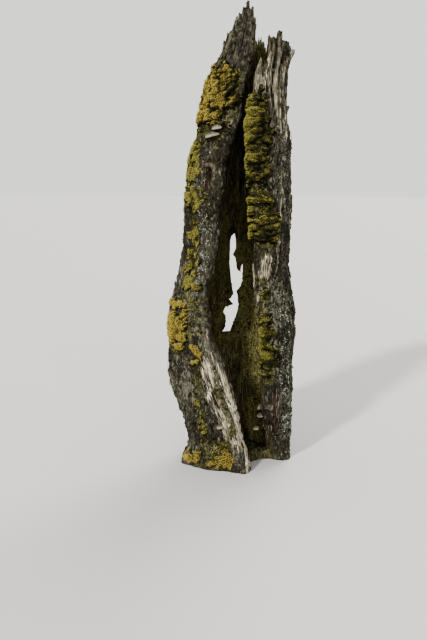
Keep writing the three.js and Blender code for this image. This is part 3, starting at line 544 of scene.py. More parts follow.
def folded_sheet(name, across, up):
    """
    A grid as a mesh, with the numbers that its mapping needs: how far each corner is along the
    fold, from -1 to 1, how far up, from 0 to 1, and how far it is drawn in, from 0 to 1.
    """
    bm = bmesh.new()
    bmesh.ops.create_grid(bm, x_segments=2 * (across + RIM), y_segments=up + 2 * RIM, size=1)
    mesh = mesh_of(bm, name)
    flat = corners(mesh)
    column = np.rint(flat[:, 0] * (across + RIM))
    row = np.rint((flat[:, 1] + 1) / 2 * (up + 2 * RIM)) - RIM
    drawn = np.maximum(np.abs(column) - across, np.maximum(-row, row - up)) / RIM
    return mesh, np.clip(column / across, -1, 1), np.clip(row / up, 0, 1), np.clip(drawn, 0, 1)


def close_sheet(mesh, points):
    """Moves the sheet's corners to their places and merges those that meet."""
    mesh.vertices.foreach_set("co", points.ravel())
    bm = bmesh.new()
    bm.from_mesh(mesh)
    bmesh.ops.remove_doubles(bm, verts=bm.verts, dist=1e-5)
    bmesh.ops.dissolve_degenerate(bm, dist=1e-6, edges=bm.edges)
    bmesh.ops.recalc_face_normals(bm, faces=bm.faces)
    loose = sum(not edge.is_manifold for edge in bm.edges)
    if loose:
        print(mesh.name, "has", loose, "open edges")
    bm.to_mesh(mesh)
    bm.free()
    mesh.shade_smooth()
    return mesh


def row_heights(rise, top):
    """Level rows up to the shoulder, then rows spread up to the broken top."""
    share = SHOULDER / ROWS_END
    low = rise / share * SHOULDER
    high = SHOULDER + (rise - share) / (1 - share) * (top - SHOULDER)
    return np.where(rise <= share, low, high)


def jagged(place, top):
    """Splinter teeth cut into a broken top, from the angle round the trunk."""
    line = np.stack([place, 0 * place, 0 * place], axis=-1)
    return top - (np.abs(noise(line, 3.1, 71)) * .13 + np.abs(noise(line, 1.3, 72)) * .09)


def knot_dent(angle, z):
    """Depth of the rotted knot hole, a bowl in the left wall."""
    wide, deep, tall = KNOT["size"]
    across = np.radians(angle - KNOT["angle"]) * half_width(z) / (wide / 2)
    up = (z - KNOT["height"]) / (tall / 2)
    return deep / 2 * np.sqrt(np.clip(1 - across**2 - up**2, 0, 1))


def paint(mesh, name, *columns):
    """Stores three numbers for each corner, which a material reads by name."""
    plain = np.ones(len(mesh.vertices))
    values = np.stack([plain * column for column in (*columns, 1)], axis=-1)
    attribute = mesh.attributes.new(name, "FLOAT_COLOR", "POINT")
    attribute.data.foreach_set("color", values.astype(np.float32).ravel())


def paint_wood(mesh, finish, hurt_and_shade, grain):
    """The three marks of the trunk's wood: its finish, its hurt with the painted shade of its
    cracks, and its place along the grain.
    """
    paint(mesh, "finish", *finish)
    paint(mesh, "hurt_and_shade", *hurt_and_shade)
    paint(mesh, "grain", *grain.T)


def rough_wall(mesh, place, z, inner, face, drawn):
    """Gives a wall's sheet its roughness and marks; face is -1 outside and 1 inside."""
    level = face * (1 - drawn)
    smooth = trunk_point(place, z, inner / 2 * (1 + level))
    grain = trunk_point(place - grain_turn(place, z), z, inner / 2 * (1 + level))
    outside = ease(-level, -.2, .7)
    inside = ease(level, .0, .8)
    bare, mossy, lichened, red = wear(grain, place, z, inside)
    bark, crack_shade = bark_height(grain, place, z, bare, mossy, smooth_limb(place, z))
    rot, hollow_shade = rot_height(smooth, z)
    hollow_shade = hollow_shade * (1 - .6 * mossy)
    dent = knot_dent(place, z)
    red = np.maximum(red, ease(dent, .005, .03))
    depth = inner / 2 * (1 + level) - (1 - drawn) * (outside * (bark - dent) - inside * rot)
    deepest = np.where(level < 0, .5 + .05 * level + dent * 4, 1.35) * inner
    shallowest = np.where(level < 0, -.06, (.5 + .1 * level) * inner)
    points = trunk_point(place, z, np.clip(depth, shallowest, deepest))
    points[:, 2] = np.where(z <= 0, 0, z + .004 * ease(z, 0, .02) * noise(smooth, .03, 75))
    # Painted shade in the cracks: from the bark outside and from the rot inside.
    crevice_shade = np.where(level < .1, crack_shade, hollow_shade)
    paint_wood(mesh, (bare, mossy, lichened), (red, crevice_shade, inside), grain)
    return close_sheet(mesh, points)


def lip_wander(side, z):
    """Degrees by which a ragged lip leaves its smooth line."""
    line = np.stack([0 * z + side, 0 * z, z], axis=-1)
    return 3.2 * fractal(line, .16, 77) + 1.6 * noise(line, .035, 79)


def shell_wall(name, side, across, up):
    """The left or right shell as one closed mesh."""
    mesh, fold, rise, drawn = folded_sheet(name, across, up)
    share = np.abs(fold) ** LIP_CROWDING
    z = row_heights(rise, jagged(side * (200 - 130 * share), shell_top(side, share)))
    lip = lip_angle(side, z)
    angle = lip + np.sign(fold) * share * side * np.abs(lip - side * SEAM_ANGLE)
    place, inner, face = shell_section(side, angle, z)
    place = place + (1 - np.abs(face)) * lip_wander(side, z)
    return rough_wall(mesh, place, z, inner, face, drawn)


def back_wall_mesh(name, across, up):
    """The back wall: the sheet is folded at the right seam, and its ends meet at the left one."""
    mesh, fold, rise, drawn = folded_sheet(name, across, up)
    share = np.clip((1 - np.abs(fold)) / (1 - RIM / across), 0, 1)
    top = broken_top("back", share)
    angle = -SEAM_ANGLE + 2 * SEAM_ANGLE * share
    z = row_heights(rise, jagged(angle, top))
    face = np.clip(fold * across / RIM, -1, 1)
    return rough_wall(mesh, angle, z, inner_depth(angle, z, 0, top), face, drawn)


WALLS = {"left": shell_wall("left_wall", -1, 190, 240),
         "right": shell_wall("right_wall", 1, 170, 260),
         "back": back_wall_mesh("rotten_back_wall", 170, 250)}
print("walls:", {side: len(mesh.polygons) for side, mesh in WALLS.items()}, "faces")

# %% [markdown]
# Every surface gets a material that starts from what it really is. The colours are the sRGB values
# that a person would pick by eye, and one function turns them into the linear numbers that the
# shader works with. One other function adds a node, with its settings and its links, and short
# ones on top of it name what a node is for.

# %% Colours and nodes
def linear(colour):
    """A colour such as #8A7F6C as linear red, green, blue and a full alpha."""
    channels = [int(colour[i:i + 2], 16) / 255 for i in (1, 3, 5)]
    return [c / 12.92 if c <= .04045 else ((c + .055) / 1.055) ** 2.4 for c in channels] + [1]


def add(tree, kind, inputs=None, **settings):
    """Adds a shader node. An input is a value, or the output socket that it is linked to."""
    node = tree.nodes.new("ShaderNode" + kind)
    for name, value in settings.items():
        setattr(node, name, value)
    for name, value in (inputs or {}).items():
        if isinstance(value, bpy.types.NodeSocket):
            tree.links.new(value, node.inputs[name])
        else:
            node.inputs[name].default_value = value
    return node


def ramp(tree, factor, *stops):
    """A colour ramp's output, from pairs of place and sRGB colour."""
    node = add(tree, "ValToRGB", {"Fac": factor})
    elements = node.color_ramp.elements
    while len(elements) < len(stops):
        elements.new(.5)
    for element, (place, colour) in zip(elements, stops):
        element.position = place
        element.color = linear(colour)
    return node.outputs["Color"]


def noise_at(tree, place, scale, detail, rough=.5):
    """Soft noise; the scale is how many lumps there are to the metre."""
    inputs = {"Vector": place, "Scale": scale, "Detail": detail, "Roughness": rough}
    return add(tree, "TexNoise", inputs).outputs["Fac"]


def cells_at(tree, place, scale):
    """Distance from the middle of a cell; the scale is how many cells there are to the metre."""
    return add(tree, "TexVoronoi", {"Vector": place, "Scale": scale}).outputs["Distance"]


def fade(tree, value, low, high):
    """0 to 1 while the value runs from low to high."""
    return add(tree, "MapRange", {"Value": value, "From Min": low, "From Max": high}).outputs[0]


def product(tree, one, other):
    return add(tree, "Math", {0: one, 1: other}, operation="MULTIPLY").outputs[0]


def over(tree, share, under, upper):
    """One colour over another; the share says how much of the upper one shows."""
    return add(tree, "Mix", {0: share, 6: under, 7: upper}, data_type="RGBA").outputs[2]


def painted(tree, name):
    """The three numbers that an attribute of the mesh holds."""
    colour = add(tree, "Attribute", attribute_name=name).outputs["Color"]
    return add(tree, "SeparateColor", {0: colour}).outputs[:3]


def new_material(name, roughness):
    """A new material with its node tree and its shader."""
    material = bpy.data.materials.new(name)
    material.use_nodes = True
    shader = material.node_tree.nodes["Principled BSDF"]
    shader.inputs["Roughness"].default_value = roughness
    shader.inputs["Specular IOR Level"].default_value = .25
    return material, material.node_tree, shader


def finish_material(tree, shader, colour, height, strength, distance):
    """Links the colour, and a fine bump of a few millimetres."""
    tree.links.new(colour, shader.inputs["Base Color"])
    bump = add(tree, "Bump", {"Height": height, "Strength": strength, "Distance": distance})
    tree.links.new(bump.outputs[0], shader.inputs["Normal"])


def plain_material(name, colour, roughness=.85):
    material, tree, shader = new_material(name, roughness)
    shader.inputs["Base Color"].default_value = linear(colour)
    return material


print("mid grey #808080 is", round(linear("#808080")[0], 3), "in linear light")

# %% [markdown]
# Trunk wood. Fallen bark, grey sun-bleached grain, lichen crusts, a film of moss, red rot and the
# dark crumbled inside all meet without a line, so one material holds them. Two painted attributes
# say how much of each there is: finish holds bare wood, moss and lichen, and hurt holds red rot,
# the painted shade of the cracks, and the inside. The third one, grain, is the place that the
# fibres are drawn from. Inside the hollow the film of moss is also painted light, pale on the lit
# right side. Grain is 12 mm wide and ten times as tall; the real grain of 2 mm would vanish in the
# picture. Lichen crusts are 20 mm across. All of it is dry and dull, so the roughness is high.

# %% Weathered trunk wood
GRAIN_SCALE = (83, 83, 8)  # fibres to the metre, across, across and along the grain


def trunk_wood():
    material, tree, shader = new_material("weathered_trunk_wood", .9)
    place = add(tree, "TexCoord").outputs["Object"]
    run = add(tree, "Attribute", attribute_name="grain").outputs["Vector"]
    drawn = add(tree, "Mapping", {"Vector": run, "Scale": GRAIN_SCALE}).outputs[0]
    grain = noise_at(tree, drawn, 1, 4)
    patch = noise_at(tree, place, 15, 6, .68)
    speck = noise_at(tree, place, 70, 3)
    bare, mossy, lichened = painted(tree, "finish")
    red, crack_shade, inside = painted(tree, "hurt_and_shade")

    bark = ramp(tree, patch, (.34, "#1E1C16"), (.46, "#353228"), (.56, "#4F4C40"), (.68, "#72705F"))
    silver = ramp(tree, grain, (.32, "#423D33"), (.47, "#8A8270"), (.60, "#C2B9A4"),
                  (.72, "#E8E0CE"))
    warm = ramp(tree, grain, (.35, "#201712"), (.55, "#433226"), (.7, "#68523D"))
    colour = over(tree, red, over(tree, bare, bark, silver), warm)

    crusted = product(tree, fade(tree, cells_at(tree, place, 48), .44, .30), lichened)
    crusted = product(tree, crusted, fade(tree, patch, .42, .55))
    pale = ramp(tree, speck, (.35, "#4B4E42"), (.55, "#6C7063"), (.7, "#8F9285"))
    colour = over(tree, crusted, colour, pale)

    rot = ramp(tree, grain, (.32, "#242015"), (.5, "#4B432D"), (.68, "#7C714F"))
    algae = ramp(tree, speck, (.35, "#37371F"), (.6, "#625F39"))
    rot = over(tree, fade(tree, noise_at(tree, place, 4.5, 5), .44, .58), rot, algae)
    colour = over(tree, inside, colour, rot)
    # Partly painted light: inside, the film of moss is pale where light falls on the right side.
    damp_and_lit = ramp(tree, speck, (.38, "#47462C"), (.5, "#706C46"), (.64, "#948E62"))
    colour = over(tree, product(tree, inside, mossy), colour, damp_and_lit)
    green = ramp(tree, patch, (.36, "#232415"), (.5, "#49472B"), (.64, "#736A42"))
    colour = over(tree, product(tree, fade(tree, speck, .62, .38), mossy), colour, green)
    # Painted shade: cracks and crevices are darkened to nearly black.
    colour = over(tree, crack_shade, colour, linear("#110C08"))
    rough = add(tree, "Math", {0: grain, 1: speck}, operation="ADD").outputs[0]
    finish_material(tree, shader, colour, rough, .6, .006)
    return material


TRUNK_WOOD = trunk_wood()
print("material:", TRUNK_WOOD.name, len(TRUNK_WOOD.node_tree.nodes), "nodes")

# %% [markdown]
# A piece is a mesh in the scene that stands for solids of the model. It rides on the tree's one
# body and replaces its nodes. The walls come first.

# %% The three walls
def add_piece(name, mesh, slot, nodes, *materials):
    """Puts a finished mesh in the scene as a piece that stands for CAD nodes."""
    piece = bpy.data.objects.new(name, mesh)
    scene.collection.objects.link(piece)
    for material in materials:
        mesh.materials.append(material)
    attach(piece, "root")
    if nodes:
        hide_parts(*nodes)
    print(name, len(mesh.polygons), "faces")
    return piece


add_piece("left_wall", WALLS["left"], "bark_wood", ["left_shell"], TRUNK_WOOD)
add_piece("right_wall", WALLS["right"], "bark_wood", ["right_shell"], TRUNK_WOOD)
back_wall = add_piece("rotten_back_wall", WALLS["back"], "rotten_wood", ["back_wall"], TRUNK_WOOD)

# %% [markdown]
# The hole. Rot has gone right through the back wall in one ragged slit, and daylight shows through
# it. A cutter of the same outline runs back through the wall, with a rough skin of its own, and a
# Boolean takes it away. The cutter is painted as rot, and the cut faces take that over.

# %% Ragged hole
HOLE_EDGE = [  # right edge from its top down, then the left edge upwards: right, height
    (-.010, 3.000), (.010, 2.900), (.005, 2.765), (-.030, 2.710), (.005, 2.680), (.015, 2.545),
    (.065, 2.475), (.075, 2.545), (.095, 2.590), (.105, 2.530), (.100, 2.340), (.075, 2.270),
    (.020, 2.200), (.040, 2.115), (.050, 2.030), (.040, 1.925), (.015, 1.850), (-.030, 1.730),
    (-.065, 1.640), (-.090, 1.595), (-.175, 1.595), (-.180, 1.640), (-.135, 1.695),
    (-.150, 1.750), (-.195, 1.820), (-.175, 1.890), (-.140, 1.975), (-.040, 2.020),
    (-.095, 2.090), (-.030, 2.160), (-.055, 2.270), (-.075, 2.490), (-.085, 2.600),
    (-.080, 2.830), (-.065, 2.955),
]
HOLE_DEPTH = {"middle": .5, "front": .20, "back": 1.0}
HOLE_SLOPE = {"across": .021, "down": .158}  # it runs down and a little right to the back
HOLE_STEPS = 14


def rough_cutter():
    """The hole's outline, drawn back through the wall in steps and roughened."""
    bm = bmesh.new()
    bm.faces.new([bm.verts.new((x, 0, z)) for x, z in HOLE_EDGE])
    bmesh.ops.subdivide_edges(bm, edges=bm.edges, cuts=3)
    length = HOLE_DEPTH["back"] - HOLE_DEPTH["front"]
    front = list(bm.faces)
    for step in range(HOLE_STEPS):
        grown = bmesh.ops.extrude_face_region(bm, geom=front)
        if step:
            bmesh.ops.delete(bm, geom=front, context="FACES_ONLY")
        front = [part for part in grown["geom"] if isinstance(part, bmesh.types.BMFace)]
        moved = [part for part in grown["geom"] if isinstance(part, bmesh.types.BMVert)]
        bmesh.ops.translate(bm, verts=moved, vec=(0, length / HOLE_STEPS, 0))
    bmesh.ops.recalc_face_normals(bm, faces=bm.faces)
    mesh = mesh_of(bm, "hole")
    points = corners(mesh)
    points[:, 1] += HOLE_DEPTH["front"]
    run = points[:, 1] - HOLE_DEPTH["middle"]
    points[:, 0] += HOLE_SLOPE["across"] * run
    points[:, 2] -= HOLE_SLOPE["down"] * run
    points[:, 0] += .014 * fractal(points, .07, 81) + .006 * noise(points, .02, 83)
    points[:, 2] += .014 * fractal(points, .07, 85)
    mesh.vertices.foreach_set("co", points.ravel())
    # The cut faces are rot, with a little painted shade as in a crack.
    paint_wood(mesh, (0, .1, 0), (0, .15, 1), points)
    mesh.shade_smooth()
    return mesh


def cut_hole(wall):
    cutter = bpy.data.objects.new("hole", rough_cutter())
    scene.collection.objects.link(cutter)
    hole = wall.modifiers.new("hole", "BOOLEAN")
    hole.object = cutter
    hole.solver = "MANIFOLD"
    with bpy.context.temp_override(object=wall):
        bpy.ops.object.modifier_apply(modifier=hole.name)
    bpy.data.objects.remove(cutter)
    print(wall.name, "with its hole:", len(wall.data.polygons), "faces")


cut_hole(back_wall)
WALLS["back"] = back_wall.data

# %% [markdown]
# Moss, slivers of bark and splinters all lie on a wall like a blanket. They share one way of
# making: a folded sheet laid on the wall between two angles, one half as its outer face and the
# other as its root in the wood.

# %% Layers that lie on a wall
STAND_UNIT = .11  # the painted height off the wall is counted in this
NEAR_TURN = 1.5  # degrees
NEAR_RISE = .025


def skin_normal(wall, angle, z):
    """The direction in which a wall's skin faces, from points a small turn and rise away."""
    at = SKINS[wall]
    around = at(angle + NEAR_TURN, z) - at(angle - NEAR_TURN, z)
    up = at(angle, z + NEAR_RISE) - at(angle, np.maximum(z - NEAR_RISE, 0))
    out = np.cross(up, around) * (-1 if wall == "hollow" else 1)
    return out / np.linalg.norm(out, axis=-1, keepdims=True)


def grid_steps(rows, step):
    """How many steps of a size fit across and up the rows of a layer."""
    z = np.array([row[0] for row in rows])
    widths = np.radians([abs(row[2] - row[1]) for row in rows]) * half_width(z)
    return float(widths.max()) / step, (rows[-1][0] - rows[0][0]) / step


def layer(name, wall, rows, across, up, outer, inner, teeth=0, wobble=0):
    """
    A closed layer on a wall's skin. Two functions of the share of its breadth, the share of its
    height and the place on the skin say how far the outer and inner faces stand off the skin.
    Teeth are the share of its height by which its torn upper end falls short, and wobble is how
    many degrees its sides wander.
    """
    mesh, fold, rise, drawn = folded_sheet(name, across, up)
    side = np.abs(fold)
    line = np.stack([side, 0 * side + rows[0][0], 0 * side + rows[0][1]], axis=-1)
    torn = 1 - teeth * np.abs(noise(line, .16, 73)) - teeth / 2 * np.abs(noise(line, .07, 74))
    z = rows[0][0] + (rows[-1][0] - rows[0][0]) * rise * torn
    first, last = along(rows, z, 1), along(rows, z, 2)
    edge = np.stack([0 * z + rows[0][1], np.rint(side), z], axis=-1)
    ragged = wobble * (2 * side - 1) * fractal(edge, (1, 1, .17), 76)
    angle = first + (last - first) * side + np.sign(last - first) * ragged
    skin = SKINS[wall](angle, z)
    high, low = outer(side, rise, skin), inner(side, rise, skin)
    paint(mesh, "stand", np.clip(high / STAND_UNIT, 0, 1), fold < 0, rise)
    meet = np.minimum(ease(side, 0, 2.5 / across), 1 - drawn)
    stand = (high + low) / 2 - (high - low) / 2 * np.sign(fold) * meet
    points = skin + skin_normal(wall, angle, z) * stand[:, None]
    points[:, 2] = np.maximum(points[:, 2], .002)
    return close_sheet(mesh, points)


print("layers lie on", ", ".join(SKINS))

# %% [markdown]
# Moss. It grows in cushions, each a few centimetres across, packed in wavy rows that hang a little
# over each other. The cushions are cells, raised as domes. What makes moss look soft is the fringe
# of shoots on every dome, so tens of thousands of tiny shoots follow, joined into a few meshes.
# There are two kinds of moss, and each has five plain colours that are dealt out to its shoots,
# from the sunlit tips on the domes down to the shade between them.

# %% Moss colours
MOSS_COLOURS = {  # from the sunlit tips down to the shade
    "gold_moss": ("#B2A25C", "#766B39", "#524B27", "#38381D", "#19190E"),
    "olive_moss": ("#9F9859", "#6A6834", "#4A4925", "#34361C", "#17180D"),
}


def moss_bed():
    """What shows between the shoots: olive and gold in patches, dark as old moss is and as painted
    shade deep down between them.
    """
    material, tree, shader = new_material("moss_bed", .95)
    place = add(tree, "TexCoord").outputs["Object"]
    colour = ramp(tree, noise_at(tree, place, 22, 5), (.36, "#12120B"), (.5, "#2C2A18"),
                  (.64, "#504930"))
    finish_material(tree, shader, colour, noise_at(tree, place, 180, 2), .8, .004)
    return material


SHOOTS = {slot: [plain_material(f"{slot}_shoot_{k + 1}", colour) for k, colour in enumerate(row)]
          for slot, row in MOSS_COLOURS.items()}
MOSS_BED = moss_bed()
print("moss colours:", ", ".join(MOSS_COLOURS))

# %% Moss cushions
# Share of gold: lifts the shoots to lighter tones, for golden moss and as painted light.
MOSS = [  # name, wall, rows of height and two angles, rise, share of gold, how patchy, slot
    ("moss_crown", "left", [(4.33, -112, -150), (4.48, -84, -166), (4.75, -74, -170),
                            (5.0, -78, -163), (5.19, -94, -128)], .052, .32, 0, "gold_moss"),
    ("moss_shoulder", "left", [(3.3, -112, -128), (3.55, -92, -146), (3.9, -86, -136),
                               (4.06, -84, -132), (4.29, -92, -126)], .030, .44, .20, "olive_moss"),
    ("moss_band_left", "left", [(2.29, -122, -148), (2.6, -116, -146), (3.0, -111, -138),
                                (3.26, -110, -128)], .026, .38, .16, "olive_moss"),
    ("moss_gold_patch", "left", [(1.56, -101, -128), (1.74, -90, -144), (2.0, -92, -144),
                                 (2.25, -104, -134)], .042, .92, .10, "gold_moss"),
    ("moss_below_gold", "left", [(1.4, -140, -150), (1.48, -134, -156), (1.64, -134, -156),
                                 (1.72, -140, -152)], .026, .75, .10, "gold_moss"),
    ("moss_streak_low", "left", [(.42, -140, -148), (.64, -134, -148), (.82, -134, -146),
                                 (1.01, -138, -144)], .020, .45, .15, "olive_moss"),
    ("moss_foot_left", "left", [(0, -92, -138), (.09, -94, -140), (.24, -112, -134)],
     .026, .78, .22, "gold_moss"),
    ("moss_foot_front", "left", [(0, -143, -186), (.1, -144, -184), (.26, -150, -172),
                                 (.33, -156, -166)], .030, .76, .22, "gold_moss"),
    ("moss_lip_top", "right", [(3.64, 146, 174), (3.9, 143, 178), (4.3, 140, 182),
                               (4.64, 148, 180), (4.9, 156, 168)], .054, .28, .05, "olive_moss"),
    ("moss_lip_middle", "right", [(2.9, 134, 152), (3.1, 126, 164), (3.33, 128, 170),
                                  (3.59, 144, 168)], .056, .32, .05, "olive_moss"),
    ("moss_lip_patch", "right", [(2.22, 140, 147), (2.32, 137, 150), (2.42, 141, 148)],
     .018, .30, 0, "olive_moss"),
    ("moss_lip_low", "right", [(1.18, 132, 142), (1.4, 128, 146), (1.75, 132, 149),
                               (2.08, 140, 148)], .030, .20, .18, "olive_moss"),
]
MOSS_GRID = .0085
MOSS_ROOT = .022


def domes(near, size, least=0, tone=1):
    """Round cushions from the distance to the middle of each cell, of uneven height."""
    return np.sqrt(np.clip(1 - (near / size) ** 2, 0, 1)) * (least + (1 - least) * tone)


def cushion_height(rise, broken):
    """Domes in wavy rows, sunk in the wood past a ragged edge and, if broken, in many gaps."""
    def height(side, up, skin):
        rim = np.minimum(np.minimum(side, 1 - side), np.minimum(up, 1 - up) * 1.3)
        edge = ease(rim + .24 * fractal(skin, (.12, .12, .08), 91), -.02, .17)
        edge = edge * (1 - ease(fractal(skin, (.12, .12, .08), 90) + broken, .22, .42))
        wander = fractal(skin, .13, 93)[:, None] * np.array([.03, .03, .04])
        near, far, tone = cells(skin + 1.6 * wander, (.125, .125, .100), 94)
        billow = domes(near, .80, .5, tone)
        near, far, tone = cells(skin + wander, (.074, .074, .050), 95)
        dome = domes(near, .82, .45, tone)
        knob = domes(cells(skin, .027, 97)[0], .8)
        bed = .06 + .20 * noise(skin, .16, 99)
        return rise * edge * (bed + .80 * billow + .60 * dome + .25 * knob) - MOSS_ROOT * (1 - edge)
    return height


def cushion_root(side, up, skin):
    return 0 * side - MOSS_ROOT - .005


cushions = {}
for name, wall, rows, rise, gold, broken, slot in MOSS:
    across, up = grid_steps(rows, MOSS_GRID)
    mesh = layer(name + "_bed", wall, rows, max(8, round(across)), max(10, round(up)),
                 cushion_height(rise, broken), cushion_root, wobble=5)
    add_piece(name + "_bed", mesh, slot, [name], MOSS_BED)
    cushions[name] = mesh

# %% [markdown]
# Small things come in thousands, too many for objects of their own. One low form is copied by
# arrays of spots, axes and colours into one mesh. A spot is random on a random face, and a face's
# chance grows with its area.

# %% Many small things in one mesh
SPIKE_SUNK = .15  # share of a spike's length that is below its seat


def spots_on(mesh, face):
    """A random spot on each of the given faces."""
    first = read(mesh.polygons, "loop_start", 1, np.int32)[face]
    last = first + read(mesh.polygons, "loop_total", 1, np.int32)[face] - 1
    loops = read(mesh.loops, "vertex_index", 1, np.int32)
    a, b, c, d = (corners(mesh)[loops[k]] for k in (first, first + 1, first + 2, last))
    u, v = random.uniform(size=(2, len(face), 1))
    return (1 - v) * (a + u * (b - a)) + v * (d + u * (c - d))


def marks_of(mesh, name):
    """The three painted numbers of every face, read at its first corner."""
    first = read(mesh.polygons, "loop_start", 1, np.int32)
    loops = read(mesh.loops, "vertex_index", 1, np.int32)
    return read(mesh.attributes[name].data, "color", 4, np.float32)[loops[first], :3].T


def joined(name, template, spots, frames, tones, materials):
    """
    Copies of a small mesh, each with its own spot, axes and material, as one mesh. Those that
    would reach into the ground are lifted onto it.
    """
    corner = corners(template)
    loops = read(template.loops, "vertex_index", 1, np.int32)
    sizes = read(template.polygons, "loop_total", 1, np.int32)
    count = len(spots)
    points = np.einsum("kj,nji->nki", corner, frames) + spots[:, None, :]
    points[:, :, 2] -= np.minimum(points[:, :, 2].min(axis=1), 0)[:, None]
    index = loops[None, :] + np.arange(count)[:, None] * len(corner)
    starts = np.concatenate([[0], np.cumsum(np.tile(sizes, count))[:-1]])
    mesh = bpy.data.meshes.new(name)
    mesh.vertices.add(count * len(corner))
    mesh.loops.add(count * len(loops))
    mesh.polygons.add(count * len(sizes))
    mesh.vertices.foreach_set("co", points.ravel())
    mesh.loops.foreach_set("vertex_index", index.ravel().astype(np.int32))
    mesh.polygons.foreach_set("loop_start", starts.astype(np.int32))
    mesh.polygons.foreach_set("material_index", np.repeat(tones, len(sizes)).astype(np.int32))
    mesh.update(calc_edges=True)
    for material in materials:
        mesh.materials.append(material)
    return mesh


def strewn_piece(name, slot, *parts):
    """Copies of a small mesh as one piece that stands for no node."""
    add_piece(name, joined(name, *parts), slot, [])


def unit(vectors):
    return vectors / np.linalg.norm(vectors, axis=1, keepdims=True)


def axes(out, length, width, lean=.0):
    """Frames whose Z runs out along the given directions, leaning at random."""
    z = unit(out + lean * random.normal(size=out.shape))
    x = unit(np.cross(z, random.normal(size=out.shape)))
    y = np.cross(z, x)
    return np.stack([x * width[:, None], y * width[:, None], z * length[:, None]], axis=1)


def cone(sides, top):
    """The bmesh of a closed cone of unit height and width, cut off at the width of its top."""
    bm = bmesh.new()
    bmesh.ops.create_cone(bm, cap_ends=True, cap_tris=False, segments=sides, radius1=.5,
                          radius2=top / 2, depth=1)
    return bm


def spike(name):
    """A slim three-sided spike, its foot a little below its seat."""
    bm = cone(3, 0)
    bmesh.ops.translate(bm, verts=bm.verts, vec=(0, 0, .5 - SPIKE_SUNK))
    bmesh.ops.remove_doubles(bm, verts=bm.verts, dist=1e-6)
    return mesh_of(bm, name)


def ball(name, subdivisions):
    bm = bmesh.new()
    bmesh.ops.create_icosphere(bm, subdivisions=subdivisions, radius=.5)
    return mesh_of(bm, name)


print("a spike has", len(spike("spike").polygons), "faces")

# %% Moss shoots
SHOOTS_PER_SQUARE_METRE = 27000
SHOOT_LENGTH = (.010, .021)
SHOOT_WIDTH = (.0038, .0066)
SHOOT_DROOP = (0, 0, -.25)
SHOOT_LEAN = .45
TONE_LIMITS = (1.05, .74, .52, .24)  # how well lit a shoot is where the next tone begins
LEAST_STAND = .016  # shoots stand only where a cushion is at least this high, in STAND_UNIT


def shoots_on(mesh, gold):
    """Spots, frames and colours of the shoots on a cushion."""
    normal = read(mesh.polygons, "normal", 3)
    stand, outer, up = marks_of(mesh, "stand")
    chance = read(mesh.polygons, "area") * (outer > .5) * (stand > LEAST_STAND)
    height = stand / np.quantile(stand[chance > 0], .93)
    count = int(chance.sum() * SHOOTS_PER_SQUARE_METRE)
    face = random.choice(len(chance), count, p=chance / chance.sum())
    spots = spots_on(mesh, face)
    length = random.uniform(*SHOOT_LENGTH, count)
    width = random.uniform(*SHOOT_WIDTH, count)
    frames = axes(normal[face] + SHOOT_DROOP, length, width, SHOOT_LEAN)
    # Painted light: lighter tones high on the domes and on faces turned up and to the left.
    light = gold + 1.7 * (height[face] - .52) + .70 * fractal(spots, .10, 101)
    light += .35 * normal[face][:, 2] - .45 * normal[face][:, 0]
    light += random.normal(scale=.12, size=count)
    return spots, frames, np.digitize(-light, [-limit for limit in TONE_LIMITS])


SHOOT_PIECES = {
    "gold_moss_shoots_high": ["moss_crown"],
    "gold_moss_shoots_low": ["moss_gold_patch", "moss_below_gold", "moss_foot_left",
                             "moss_foot_front"],
    "olive_moss_shoots_left": ["moss_shoulder", "moss_band_left", "moss_streak_low"],
    "olive_moss_shoots_right": ["moss_lip_top", "moss_lip_middle", "moss_lip_patch",
                                "moss_lip_low"],
}
for name, names in SHOOT_PIECES.items():
    parts = [shoots_on(cushions[row[0]], row[4]) for row in MOSS if row[0] in names]
    slot = name.split("_shoots")[0]
    spots, frames, tones = (np.concatenate(part) for part in zip(*parts))
    strewn_piece(name, slot, spike("shoot"), spots, frames, tones, SHOOTS[slot])

# %% [markdown]
# The smaller wooden pieces: the rotten heart that fills the foot of the hollow, burls, the stubs
# of broken branches and the pale lip of the knot hole. Each is a plain closed form, made by
# spinning a profile or from a ball. It is moved to its seat on a wall, and then takes its
# roughness from the same patterns as the walls, so that it belongs to them.

# %% Heart, burls, stubs and knot
STUBS = [  # name, wall, angle, height, root and tip diameter, length, tilt in degrees
    ("stub_low_left", "left", -90, 1.135, .090, .050, .190, 12),
    ("stub_upper_left", "left", -94, 3.395, .060, .030, .110, 18),
    ("stub_back", "back", 26, 3.050, .110, .070, .260, 16),
]
BURLS = [  # name, wall, angle, height, size across, out of and up the wall
    ("burl_slit_left", "hollow", -15, 1.79, (.21, .15, .24)),
    ("burl_slit_low", "hollow", -19, 1.96, (.15, .12, .13)),
    ("burl_slit_top", "hollow", -14, 3.13, (.17, .13, .26)),
    ("burl_slit_foot", "hollow", -2, 1.52, (.26, .15, .17)),
    ("burl_left_flank", "left", -84, 2.03, (.19, .11, .30)),
    ("burl_right_flank", "right", 88, 1.69, (.15, .08, .24)),
]
BURL_SUNK = .12
SPLIT_TOPS = (4.9, 5.4)  # heights of the foot and the head of the broken tops
HEART = {"height": .095, "under_bark": .09, "open": .55}


